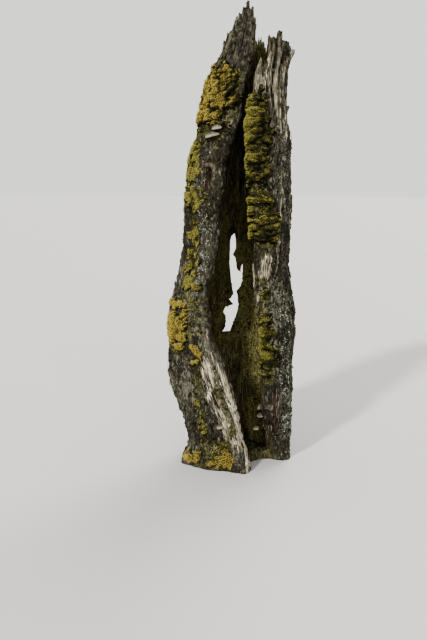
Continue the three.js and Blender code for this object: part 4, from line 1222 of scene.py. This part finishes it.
def spun(name, profile, steps, axis=(0, 0, 1), closed=False):
    """A closed form from a profile of distances from the axis and heights along it."""
    bm = bmesh.new()
    verts = [bm.verts.new((r, 0, h) if axis[2] else (r, h, 0)) for r, h in profile]
    for a, b in zip(verts, verts[1:]):
        bm.edges.new((a, b))
    if closed:
        bm.edges.new((verts[-1], verts[0]))
    bmesh.ops.spin(bm, geom=bm.verts[:] + bm.edges[:], cent=(0, 0, 0), axis=axis,
                   angle=2 * math.pi, steps=steps, use_merge=True)
    bmesh.ops.remove_doubles(bm, verts=bm.verts, dist=1e-6)
    bmesh.ops.recalc_face_normals(bm, faces=bm.faces)
    mesh = mesh_of(bm, name)
    mesh.shade_smooth()
    return mesh


def turned(across, up, degrees):
    """Two coordinates of points, turned by an angle in their own plane."""
    turn = math.radians(degrees)
    return (across * math.cos(turn) - up * math.sin(turn),
            across * math.sin(turn) + up * math.cos(turn))


def seated(points, wall, angle, z, sunk=0, tilt=0):
    """Moves points to a wall, their +Y out of the wood and their +Z up."""
    angle, z = np.array(float(angle)), np.array(float(z))
    out = skin_normal(wall, angle, z) * [1, 1, 0]
    out /= np.linalg.norm(out)
    side = np.cross(out, (0, 0, 1))
    y, up = turned(points[:, 1], points[:, 2], tilt)
    seat = SKINS[wall](angle, z) - out * sunk
    return seat + points[:, :1] * side + y[:, None] * out + up[:, None] * [0, 0, 1]


def move(mesh, points):
    mesh.vertices.foreach_set("co", points.ravel())
    mesh.update()


def worn_piece(name, mesh, slot, nodes, inside=0, bare=0, mossy=0, lichened=0, red=0, depth=1):
    """
    Gives a seated form the roughness and colours of the walls, and adds it as a piece. Two values
    for bare are those at the foot and at the head of the broken tops.
    """
    points = corners(mesh)
    z = points[:, 2]
    bare = np.interp(z, SPLIT_TOPS, bare) if np.ndim(bare) else bare
    if inside:
        rough, crevice_shade = rot_height(points, z)
        rough = rough - .012
    else:
        rough, crevice_shade = bark_height(points, 0 * z, z, 0 * z + bare, 0 * z + mossy)
        rough = rough - .004
    move(mesh, points + read(mesh.vertices, "normal", 3) * (depth * rough)[:, None])
    # The hurt also carries the painted shade of the form's cracks.
    paint_wood(mesh, (bare, mossy, lichened), (red, crevice_shade, inside), points)
    add_piece(name, mesh, slot, nodes, TRUNK_WOOD)


def heart_mesh():
    """Crumbled rot in the foot of the hollow, low where it spills out of the mouth."""
    profile = [(r, 0) for r in np.linspace(0, 1, 30)] + [(1, .5)]
    profile += [(r, 1) for r in np.linspace(1, 0, 60)]
    mesh = spun("rotten_heart", profile, 150)
    points = corners(mesh)
    share = np.hypot(points[:, 0], points[:, 1])
    angle = np.degrees(np.arctan2(points[:, 0], points[:, 1]))
    level = np.full(len(angle), HEART["height"])
    left, right = (float(lip_angle(side, np.array(HEART["height"]))) for side in (-1, 1))
    mouth = ease(angle % 360, right - 12, right + 6) * ease(-(angle % 360), -left - 366, -left - 348)
    reach = share * (1 - (1 - HEART["open"]) * mouth)
    top = HEART["height"] * (1 - .97 * mouth * share**1.5)
    ground = trunk_point(angle, level, HEART["under_bark"]) * reach[:, None] * [1, 1, 0]
    bumps = .030 * fractal(ground, .16, 111) + .014 * np.abs(noise(ground, .035, 113))
    ground[:, 2] = points[:, 2] * np.maximum(top + bumps * (1 - .8 * mouth * share**2), .004)
    move(mesh, ground)
    return mesh


def stub_mesh(name, root, tip, length):
    """A tapering branch, broken off in a torn end."""
    flank = [((root + (tip - root) * (s + .5)) / 2, s * length) for s in np.linspace(-.5, .5, 40)]
    ends = [(root / 2 * r, -length / 2) for r in np.linspace(0, .9, 6)]
    torn = [(tip / 2 * r, length / 2) for r in np.linspace(.92, 0, 9)]
    mesh = spun(name, ends + flank + torn, 48)
    points = corners(mesh)
    grain = np.abs(noise(points * [1, 1, 0], .012, 121))
    grain = grain + .5 * np.abs(noise(points * [1, 1, 0], .030, 123))
    points[:, 2] -= ease(points[:, 2], length * .30, length / 2) * .16 * length * grain
    return mesh, points


heart = heart_mesh()
worn_piece("rotten_heart", heart, "rotten_wood", ["rotten_heart_floor"], 1, depth=0)

for name, wall, angle, z, size in BURLS:
    inside = int(wall == "hollow")
    mesh = ball(name + "_wood", 4)
    mesh.shade_smooth()
    move(mesh, seated(corners(mesh) * size, wall, angle, z, BURL_SUNK * size[1]))
    slot = "rotten_wood" if inside else "bark_wood"
    worn_piece(name + "_wood", mesh, slot, [name], inside, mossy=.25, depth=.8)

for name, wall, angle, z, root, tip, length, tilt in STUBS:
    mesh, points = stub_mesh(name + "_wood", root, tip, length)
    move(mesh, seated(points, wall, angle, z, 0, tilt))
    worn_piece(name + "_wood", mesh, "bark_wood", [name], bare=.35, lichened=.4, depth=.4)

ring = [(.5 + .10 * math.cos(a), .10 * math.sin(a)) for a in np.linspace(0, 2 * math.pi, 24)[:-1]]
rim = spun("knot_rim_wood", ring, 96, axis=(0, 1, 0), closed=True)
rim_points = corners(rim) * np.array([KNOT["size"][0] + .04, .15, KNOT["size"][2] + .04])
rim_points *= 1 + .16 * fractal(rim_points, .07, 125)[:, None]
move(rim, seated(rim_points, "left", KNOT["angle"], KNOT["height"] - .005, .010))
worn_piece("knot_rim_wood", rim, "bare_wood", ["knot_rim"], bare=.3, mossy=.3, red=.3, depth=.8)

# %% [markdown]
# Slivers. At the broken tops and down the flanks thin strips of bark and torn wood have come
# loose. They are rooted at the foot, curl away from the trunk and end in teeth.

# %% Slivers and flakes
SLIVERS = [  # name, wall, rows of height and two angles, thickness, curl, bare, mossy
    ("bark_sliver_tip", "left", [(5.06, -94, -104), (5.35, -101, -112), (5.6, -109, -117),
                                 (5.715, -114, -117)], .022, .026, .2, .55),
    ("bark_sliver_shoulder", "left", [(4.96, -78, -90), (5.2, -82, -92), (5.42, -89, -92)],
     .020, .034, .3, .4),
    ("curled_splinter", "right", [(5.08, 84, 95), (5.2, 85, 94), (5.33, 87, 92)],
     .026, .075, .6, 0),
    ("front_splinter", "right", [(4.9, 150, 160), (5.1, 152, 160), (5.29, 155, 157)],
     .024, .016, .55, .3),
    ("bark_curl_right", "right", [(4.44, 84, 100), (4.54, 86, 100), (4.65, 90, 97)],
     .030, .055, .3, .3),
    ("bark_flake_right", "right", [(2.7, 76, 90), (3.1, 78, 92), (3.55, 82, 88)],
     .026, .020, .1, 0),
    ("bark_flake_low", "right", [(1.15, 92, 104), (1.5, 92, 106), (1.82, 96, 103)],
     .024, .018, .1, .1),
    ("bark_flake_back", "left", [(1.9, -76, -68), (2.4, -80, -68), (2.85, -76, -70)],
     .026, .016, .1, .1),
    ("lip_splinter", "right", [(2.05, 150, 157), (2.4, 151, 159), (2.7, 153, 156)],
     .022, .030, .9, .1),
]
STRIP_ROOT = .012
STRIP_GRID = .009


def sliver(name, wall, rows, thick, lift, bare, mossy):
    across, up = grid_steps(rows, STRIP_GRID)

    def foot(side, up, skin):
        return lift * up**2 - STRIP_ROOT - .004 * (1 - up)

    def face(side, up, skin):
        crown = 1 - .55 * np.abs(2 * side - 1) ** 3
        grain = .004 * ribs(skin, (.012, .012, .25), 131) + .006 * fractal(skin, .06, 133)
        body = np.maximum(thick * crown * (1 - .5 * up) + grain, .004)
        return foot(side, up, skin) + STRIP_ROOT + body

    mesh = layer(name + "_strip", wall, rows, max(10, round(across * 1.4)), round(up), face, foot,
                 teeth=.16)
    worn_piece(name + "_strip", mesh, "bare_wood", [name], bare=bare, mossy=mossy, lichened=.4,
               depth=.25)


for entry in SLIVERS:
    sliver(*entry)

# %% [markdown]
# Bracket fungi. Each is a thick shelf, domed and zoned in rings above, with a swollen rim and a
# paler underside full of pores. The rings are a painted attribute, counted from the root. Those in
# the hollow are young and pale.

# %% Bracket fungi
BRACKETS = [  # name, wall, angle, height, width, depth and thickness
    ("bracket_high", "left", -143, 4.385, (.150, .105, .070)),
    ("bracket_high_low", "left", -137, 4.290, (.190, .120, .075)),
    ("bracket_left_side", "left", -91, 1.040, (.120, .095, .075)),
    ("bracket_buttress", "left", -163, .610, (.110, .080, .060)),
    ("bracket_right_side", "right", 91, 1.255, (.080, .060, .050)),
    ("bracket_inside_1", "hollow", 40, .600, (.110, .090, .070)),
    ("bracket_inside_2", "hollow", 41, .490, (.130, .100, .055)),
    ("bracket_inside_3", "hollow", 33, .300, (.090, .080, .045)),
    ("bracket_inside_4", "hollow", 55, .375, (.080, .070, .050)),
]
BRACKET_SECTION = [(0, -.3), (.62, -.24), (.94, -.34), (1, -.12), (.86, .2), (.5, .5), (0, .62)]
BRACKET_SUNK = .08
BRACKET_NOD = -6


def finer(profile, cuts):
    """A profile with more points on its smooth curve."""
    table = [(k, *point) for k, point in enumerate(profile)]
    at = np.linspace(0, len(profile) - 1, (len(profile) - 1) * cuts + 1)
    return list(zip(along(table, at, 1), along(table, at, 2)))


def fungus(name, cap_colours, pore_colours):
    """Corky rings above that grow pale towards the rim, and fine pores below."""
    material, tree, shader = new_material(name, .8)
    place = add(tree, "TexCoord").outputs["Object"]
    zone = painted(tree, "zone")
    wander = noise_at(tree, place, 45, 3)
    ring = add(tree, "Math", {0: wander, 1: .6, 2: zone[0]}, operation="MULTIPLY_ADD").outputs[0]
    above = ramp(tree, fade(tree, ring, 0, 1.4), *zip((.30, .52, .66, .74, .84, .94), cap_colours))
    pores = ramp(tree, cells_at(tree, place, 420), *zip((.1, .5), pore_colours))
    finish_material(tree, shader, over(tree, zone[1], above, pores), wander, .5, .003)
    return material


OLD_FUNGUS = fungus("old_bracket_fungus",
                    ("#2F2A24", "#4C473C", "#625C51", "#423D33", "#6F695B", "#8C8677"),
                    ("#554F40", "#756E5D"))
YOUNG_FUNGUS = fungus("young_bracket_fungus",
                      ("#8D8069", "#B5AA94", "#CDC4B1", "#A4977F", "#DAD3C3", "#EDE8DC"),
                      ("#B5AA94", "#D8D0BF"))


def bracket(name, wall, angle, z, size):
    mesh = spun(name + "_shelf", finer(BRACKET_SECTION, 7), 80)
    shape = corners(mesh)
    radius = np.hypot(shape[:, 0], shape[:, 1])
    below = (read(mesh.vertices, "normal", 3)[:, 2] < -.15) * 1.0
    turn = np.arctan2(shape[:, 0], shape[:, 1])
    line = np.stack([np.sin(turn), np.cos(turn), 0 * turn + z * 9], axis=-1)
    grown = shape * (1 + .09 * fractal(line, .6, 141))[:, None]
    grown[:, 2] += (1 - below) * .035 * np.sin(radius * 26) * radius
    points = grown * [size[0] / 2, size[1], size[2]]
    points[:, 0], points[:, 2] = turned(points[:, 0], points[:, 2], 14 * math.sin(7 * z))
    move(mesh, seated(points, wall, angle, z, BRACKET_SUNK * size[1], BRACKET_NOD))
    bumps = .0022 * fractal(corners(mesh), .02, 143)
    move(mesh, corners(mesh) + read(mesh.vertices, "normal", 3) * bumps[:, None])
    paint(mesh, "zone", np.clip(radius, 0, 1), below, 0)
    add_piece(name + "_shelf", mesh, "bracket_fungus", [name],
              YOUNG_FUNGUS if wall == "hollow" else OLD_FUNGUS)


for entry in BRACKETS:
    bracket(*entry)

# %% [markdown]
# Small loose things. Flakes of bark, crusts of lichen, tufts of moss and torn fibres are strewn
# over the walls where the painted marks allow them, thickest where their own mark is strongest.
# Each kind is one low form, copied thousands of times into one mesh, in a few plain colours.

# %% Strewing
def turn_of(points):
    """Angle round the trunk of each point, from -250 to 110 degrees."""
    right, back = middle(points[:, 2])
    angle = np.degrees(np.arctan2(points[:, 0] - right, points[:, 1] - back))
    return np.where(angle > 110, angle - 360, angle)


def off_limb(at):
    return 1 - smooth_limb(turn_of(at), at[:, 2])


def strew(mesh, count, liking):
    """Random spots on a mesh with their face normals; liking gives each face its chance."""
    centre = read(mesh.polygons, "center", 3)
    names = ("bare", "mossy", "lichened", "red", "crevice_shade", "inside")
    marks = dict(zip(names, (*marks_of(mesh, "finish"), *marks_of(mesh, "hurt_and_shade"))))
    chance = read(mesh.polygons, "area") * np.clip(liking(marks, centre), 0, None)
    chance = chance * (centre[:, 2] > .03)
    face = random.choice(len(chance), count, p=chance / chance.sum())
    return spots_on(mesh, face), read(mesh.polygons, "normal", 3)[face]


def hung(out, wide, tall, thick, lean=0):
    """Frames that lie on a face, Z out of it and Y up along it, leaning off it at random."""
    z = unit(out)
    up = np.array([0, 0, 1]) + random.normal(scale=.22, size=out.shape)
    y = unit(up - z * (up * z).sum(axis=1, keepdims=True))
    y = unit(y + z * (lean * random.uniform(-.3, 1, (len(out), 1))))
    x = unit(np.cross(y, z))
    z = np.cross(x, y)
    return np.stack([x * wide[:, None], y * tall[:, None], z * thick[:, None]], axis=1)


def chip(name, top, jitter):
    """A low five-sided chip of unit size in the XY plane, with an uneven outline."""
    bm = cone(5, top)
    for vert in bm.verts:
        pull = 1 + jitter * random.uniform(-1, 1)
        vert.co.x *= pull
        vert.co.y *= pull
    return mesh_of(bm, name)


def patchy(spots, size, seed, count):
    """Colour numbers that change from patch to patch, with some chance in them."""
    value = .5 + .9 * fractal(spots, size, seed) + random.normal(scale=.22, size=len(spots))
    return np.clip((value * count).astype(int), 0, count - 1)


def palette(kind, **colours):
    """Plain materials for one kind of thing, from dark to pale."""
    return [plain_material(f"{kind}_{tone}", colour) for tone, colour in colours.items()]


FLAKE_COLOURS = palette("bark_flake", black="#2C2921", brown="#3A362B", grey="#4B483D",
                        pale="#625F53")
LICHEN_COLOURS = palette("lichen_crust", dull="#52554A", grey="#6C6F62", white="#92958A")
FIBRE_COLOURS = palette("torn_fibre", dark="#201B15", brown="#453C2F", grey="#625D52",
                        silver="#8C887C")
print("colours:", len(FLAKE_COLOURS + LICHEN_COLOURS + FIBRE_COLOURS))

# %% Flakes of bark
for side, count in (("left", 4200), ("right", 3800), ("back", 2600)):
    spots, out = strew(WALLS[side], count, lambda marks, at: (1 - marks["bare"]) ** 3
                       * (.25 + ease(fractal(at, (.3, .3, .45), 163), -.15, .3))
                       * (1 - .7 * marks["mossy"]) * (1 - marks["red"])
                       * (marks["inside"] < .3) * (1 - .8 * ease(at[:, 2], 4.3, 4.9))
                       * off_limb(at))
    wide, tall = random.uniform(.016, .050, count), random.uniform(.035, .130, count)
    frames = hung(out, wide, tall, random.uniform(.005, .010, count), .10)
    strewn_piece(side + "_bark_flakes", "bark_wood", chip("flake", .75, .25),
                 spots + out * .002, frames, patchy(spots, .22, 151, 4), FLAKE_COLOURS)

# %% Crusts of lichen
for side, count in (("left", 2400), ("right", 3000), ("back", 1300)):
    spots, out = strew(WALLS[side], count, lambda marks, at: (marks["lichened"] ** 2 + .02)
                       * (at[:, 2] < 5.0) * off_limb(at)
                       * (1 - marks["mossy"]) * (1 - .8 * marks["bare"]) * (1 - marks["red"])
                       * (marks["inside"] < .3))
    size = random.uniform(.010, .026, count)
    frames = hung(out, size, size * random.uniform(.8, 1.5, count), size * .35)
    strewn_piece(side + "_lichen_crusts", "bark_wood", chip("crust", .6, .3),
                 spots + out * .003, frames, patchy(spots, .06, 153, 3), LICHEN_COLOURS)

# %% Tufts of moss
for side, count in (("left", 4400), ("right", 3600), ("back", 1000)):
    spots, out = strew(WALLS[side], count, lambda marks, at: (marks["mossy"] ** 2 + .001)
                       * (1 - .5 * marks["inside"]) * (at[:, 2] < 5.6))
    size = random.uniform(.009, .027, count)
    frames = hung(out, size * random.uniform(.9, 1.7, count), size, size * .6)
    tone = np.clip(4 - patchy(spots, .12, 155, 4), 1, 4)
    strewn_piece(side + "_moss_tufts", "olive_moss", ball("tuft", 1), spots + out * .003,
                 frames, tone, SHOOTS["olive_moss"])


# %% Torn fibres
TOPS_FOOT = 4.6  # above this height torn fibres are thick on every wall, and shorter
FIBRE_STEP = .05  # the rise over which a fibre takes the direction of the grain
RIM_STEPS = 90  # directions in which the height of a wall's broken top is read


def around(points):
    """The step round the trunk that each point is in."""
    return (turn_of(points) % 360 / (360 / RIM_STEPS)).astype(int) % RIM_STEPS


def rim_height(mesh, points):
    """Height of a wall's broken top in the direction of each point."""
    edge = corners(mesh)
    top = np.zeros(RIM_STEPS)
    np.maximum.at(top, around(edge), edge[:, 2])
    return top[around(points)]


def beside_hole(points):
    """Where long fibres would hang across the ragged hole."""
    right, back, up = points.T
    return (back > .25) & (np.abs(right + .05) < .24) & (up > 1.35) & (up < 3.1)


def fibre_frames(side, spots, out, length, width):
    """Frames that run up along the grain and lean off it a little."""
    along_wood = np.array([0, 0, 1]) + .02 * out
    if side == "left":
        angle, up = turn_of(spots), spots[:, 2]
        swept = grain_turn(angle, up + FIBRE_STEP) - grain_turn(angle, up)
        step = trunk_point(angle + swept, up + FIBRE_STEP, 0) - trunk_point(angle, up, 0)
        along_wood = along_wood + step / FIBRE_STEP - [0, 0, 1]
    return axes(along_wood, length, width, .045)


for side, count in (("left", 3000), ("right", 3600), ("back", 2800)):
    spots, out = strew(WALLS[side], count, lambda marks, at: (marks["bare"] ** 2 + marks["red"]
                       + .5 * marks["inside"] + .8 * (at[:, 2] > TOPS_FOOT) + .03)
                       * (1 - .7 * marks["mossy"]) * ~beside_hole(at)
                       * (1 - .9 * smooth_limb(turn_of(at), at[:, 2])))
    spots[:, 2] -= .02
    length = random.uniform(.07, .26, count) * (1 - .4 * (spots[:, 2] > TOPS_FOOT))
    frames = fibre_frames(side, spots, out, length, random.uniform(.007, .015, count))
    short = spots[:, 2] + length * .85 < rim_height(WALLS[side], spots) - .01
    tone = patchy(spots[short], .12, 157, 4) - (spots[short][:, 2] > 4.7)
    strewn_piece(side + "_torn_fibres", "bare_wood", spike("fibre"), spots[short],
                 frames[short], np.maximum(tone, 0), FIBRE_COLOURS)

# %% Crumbs of rot on the heart
CRUMBS = 1500
spots, out = strew(heart, CRUMBS, lambda marks, at: 1.0 * (at[:, 2] > .004))
size = random.uniform(.012, .045, CRUMBS)
frames = hung(out + [0, -.4, 0], size, size * random.uniform(.7, 1.8, CRUMBS), size * .4, .3)
strewn_piece("rot_crumbs", "rotten_wood", chip("crumb", .7, .3), spots, frames,
             patchy(spots, .08, 159, 4), FLAKE_COLOURS)

# %% [markdown]
# Slats. At the broken tops the wood has split along its grain into long flat slats, silver on the
# edges that the weather reaches and nearly black between. Each is a narrow strip on the wall, and
# the strips of one wall are joined into one mesh.

# %% Slats at the tops
SLATS = {  # wall: first and last angle, step, lowest foot, highest foot, highest top
    "right": (106, 173, 3.7, 4.35, 4.80, 5.40),
    "left": (-190, -128, 4.4, 4.90, 5.25, 5.80),
}
SLAT_BARE = {"right": (.3, .05), "left": (.25, .1)}  # at the foot and the head of the tops
TALL_SLATS = [  # width, thickness, path of height and angle, on the right wall
    (.050, .034, [(4.85, 147), (5.0, 151), (5.25, 156), (5.47, 160)]),
    (.044, .026, [(4.9, 145), (5.15, 149), (5.48, 149)]),
    (.056, .030, [(5.0, 134), (5.25, 135), (5.53, 131)]),
    (.056, .036, [(4.5, 131), (4.85, 134), (5.1, 136), (5.28, 131), (5.41, 119)]),
    (.058, .036, [(4.55, 116), (4.9, 119), (5.13, 116), (5.22, 112)]),
    (.048, .034, [(4.6, 164), (4.9, 166), (5.1, 169), (5.22, 171)]),
    (.040, .026, [(4.4, 143), (4.65, 144), (4.95, 148)]),
    (.044, .028, [(4.3, 124), (4.6, 124), (4.85, 123)]),
]
SLAT_CENTRE = 4.8  # the height where a slat's width is turned into degrees


def joined_meshes(name, meshes):
    bm = bmesh.new()
    for mesh in meshes:
        bm.from_mesh(mesh)
    whole = mesh_of(bm, name)
    whole.shade_smooth()
    return whole


def slat(wall, path, width, thick):
    """One slat: a flat strip with rounded edges that narrows to a torn point."""
    half = math.degrees(width / 2 / half_width(np.array(SLAT_CENTRE)))
    shares = [.5] + [1] * (len(path) - 2) + [.35]
    rows = [(z, angle - half * share, angle + half * share)
            for (z, angle), share in zip(path, shares)]

    def back(side, up, skin):
        return 0 * side - .016 + .012 * up

    def front(side, up, skin):
        crown = np.sqrt(np.clip(1 - (2 * side - 1) ** 2, 0, 1))
        grain = .003 * ribs(skin, (.010, .010, .3), 161)
        return back(side, up, skin) + .006 + thick * (.35 + .65 * crown) * (1 - .35 * up) + grain

    return layer("slat", wall, rows, 7, 30, front, back, teeth=.10)


for wall, (first, last, step, low, high, top) in SLATS.items():
    slats = []
    for angle in np.arange(first, last, step):
        turn = float(angle + random.uniform(-1.2, 1.2))
        at = SKINS[wall](np.array([turn]), np.array([4.9]))
        limit = min(top, float(rim_height(WALLS[wall], at)[0]) - .02)
        foot = random.uniform(low, high)
        length = random.uniform(.55, 1.0) * (limit - foot)
        lean = random.uniform(-2.5, 2.5)
        path = [(foot, turn), (foot + length / 3, turn + lean * .3), (foot + length, turn + lean)]
        slats.append(slat(wall, path, random.uniform(.018, .036), random.uniform(.010, .018)))
    worn_piece(wall + "_slats", joined_meshes(wall + "_slats", slats), "bare_wood", [],
               bare=SLAT_BARE[wall], depth=.15)

tall = joined_meshes("tall_slats", [slat("right", path, width, thick)
                                    for width, thick, path in TALL_SLATS])
worn_piece("tall_slats", tall, "bare_wood", [], bare=(.5, .08), lichened=.4, depth=.15)

# %% [markdown]
# The studio. The tree stands on a wide sheet of pale paper that has the world's own grey at the
# horizon. The key light comes from the upper left in front, as the sun does in the meadow. One
# broad fill reaches into the hollow, and one lights the back.

# %% Floor and lights
SUNS = [  # name, direction that the light comes from, spread in degrees, strength
    ("key", (-6, -10, 8), 5, 2.6),
    ("front_fill", (1.5, -12, 3.5), 50, 1.45),
    ("back_fill", (5, 10, 6), 40, 2.4),
]
FLOOR_RADIUS = 60


def studio():
    bm = bmesh.new()
    bmesh.ops.create_circle(bm, cap_ends=True, segments=96, radius=FLOOR_RADIUS)
    mesh = mesh_of(bm, "studio_floor")
    mesh.materials.append(plain_material("studio_floor_paper", "#B3B2B0", .9))
    floor = bpy.data.objects.new("studio_floor", mesh)
    scene.collection.objects.link(floor)
    world = bpy.data.worlds.new("studio")
    scene.world = world
    world.use_nodes = True
    background = world.node_tree.nodes["Background"]
    background.inputs["Color"].default_value = linear("#E8E7E5")
    background.inputs["Strength"].default_value = 1.0
    for name, spot, spread, strength in SUNS:
        light = bpy.data.lights.new(name, "SUN")
        light.angle = math.radians(spread)
        light.energy = strength
        lamp = bpy.data.objects.new(name, light)
        lamp.rotation_euler = (-Vector(spot)).to_track_quat("-Z", "Y").to_euler()
        scene.collection.objects.link(lamp)


studio()
scene.view_settings.look = "AgX - High Contrast"
print("lights:", ", ".join(row[0] for row in SUNS))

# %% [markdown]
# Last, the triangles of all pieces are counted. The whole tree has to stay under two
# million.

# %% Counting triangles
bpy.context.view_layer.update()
counts = {piece.name: sum(face.loop_total - 2 for face in piece.data.polygons)
          for piece in scene.objects if piece.type == "MESH"}
largest = max(counts, key=counts.get)
print("triangles:", sum(counts.values()), "in", len(counts), "pieces, most in", largest,
      counts[largest])
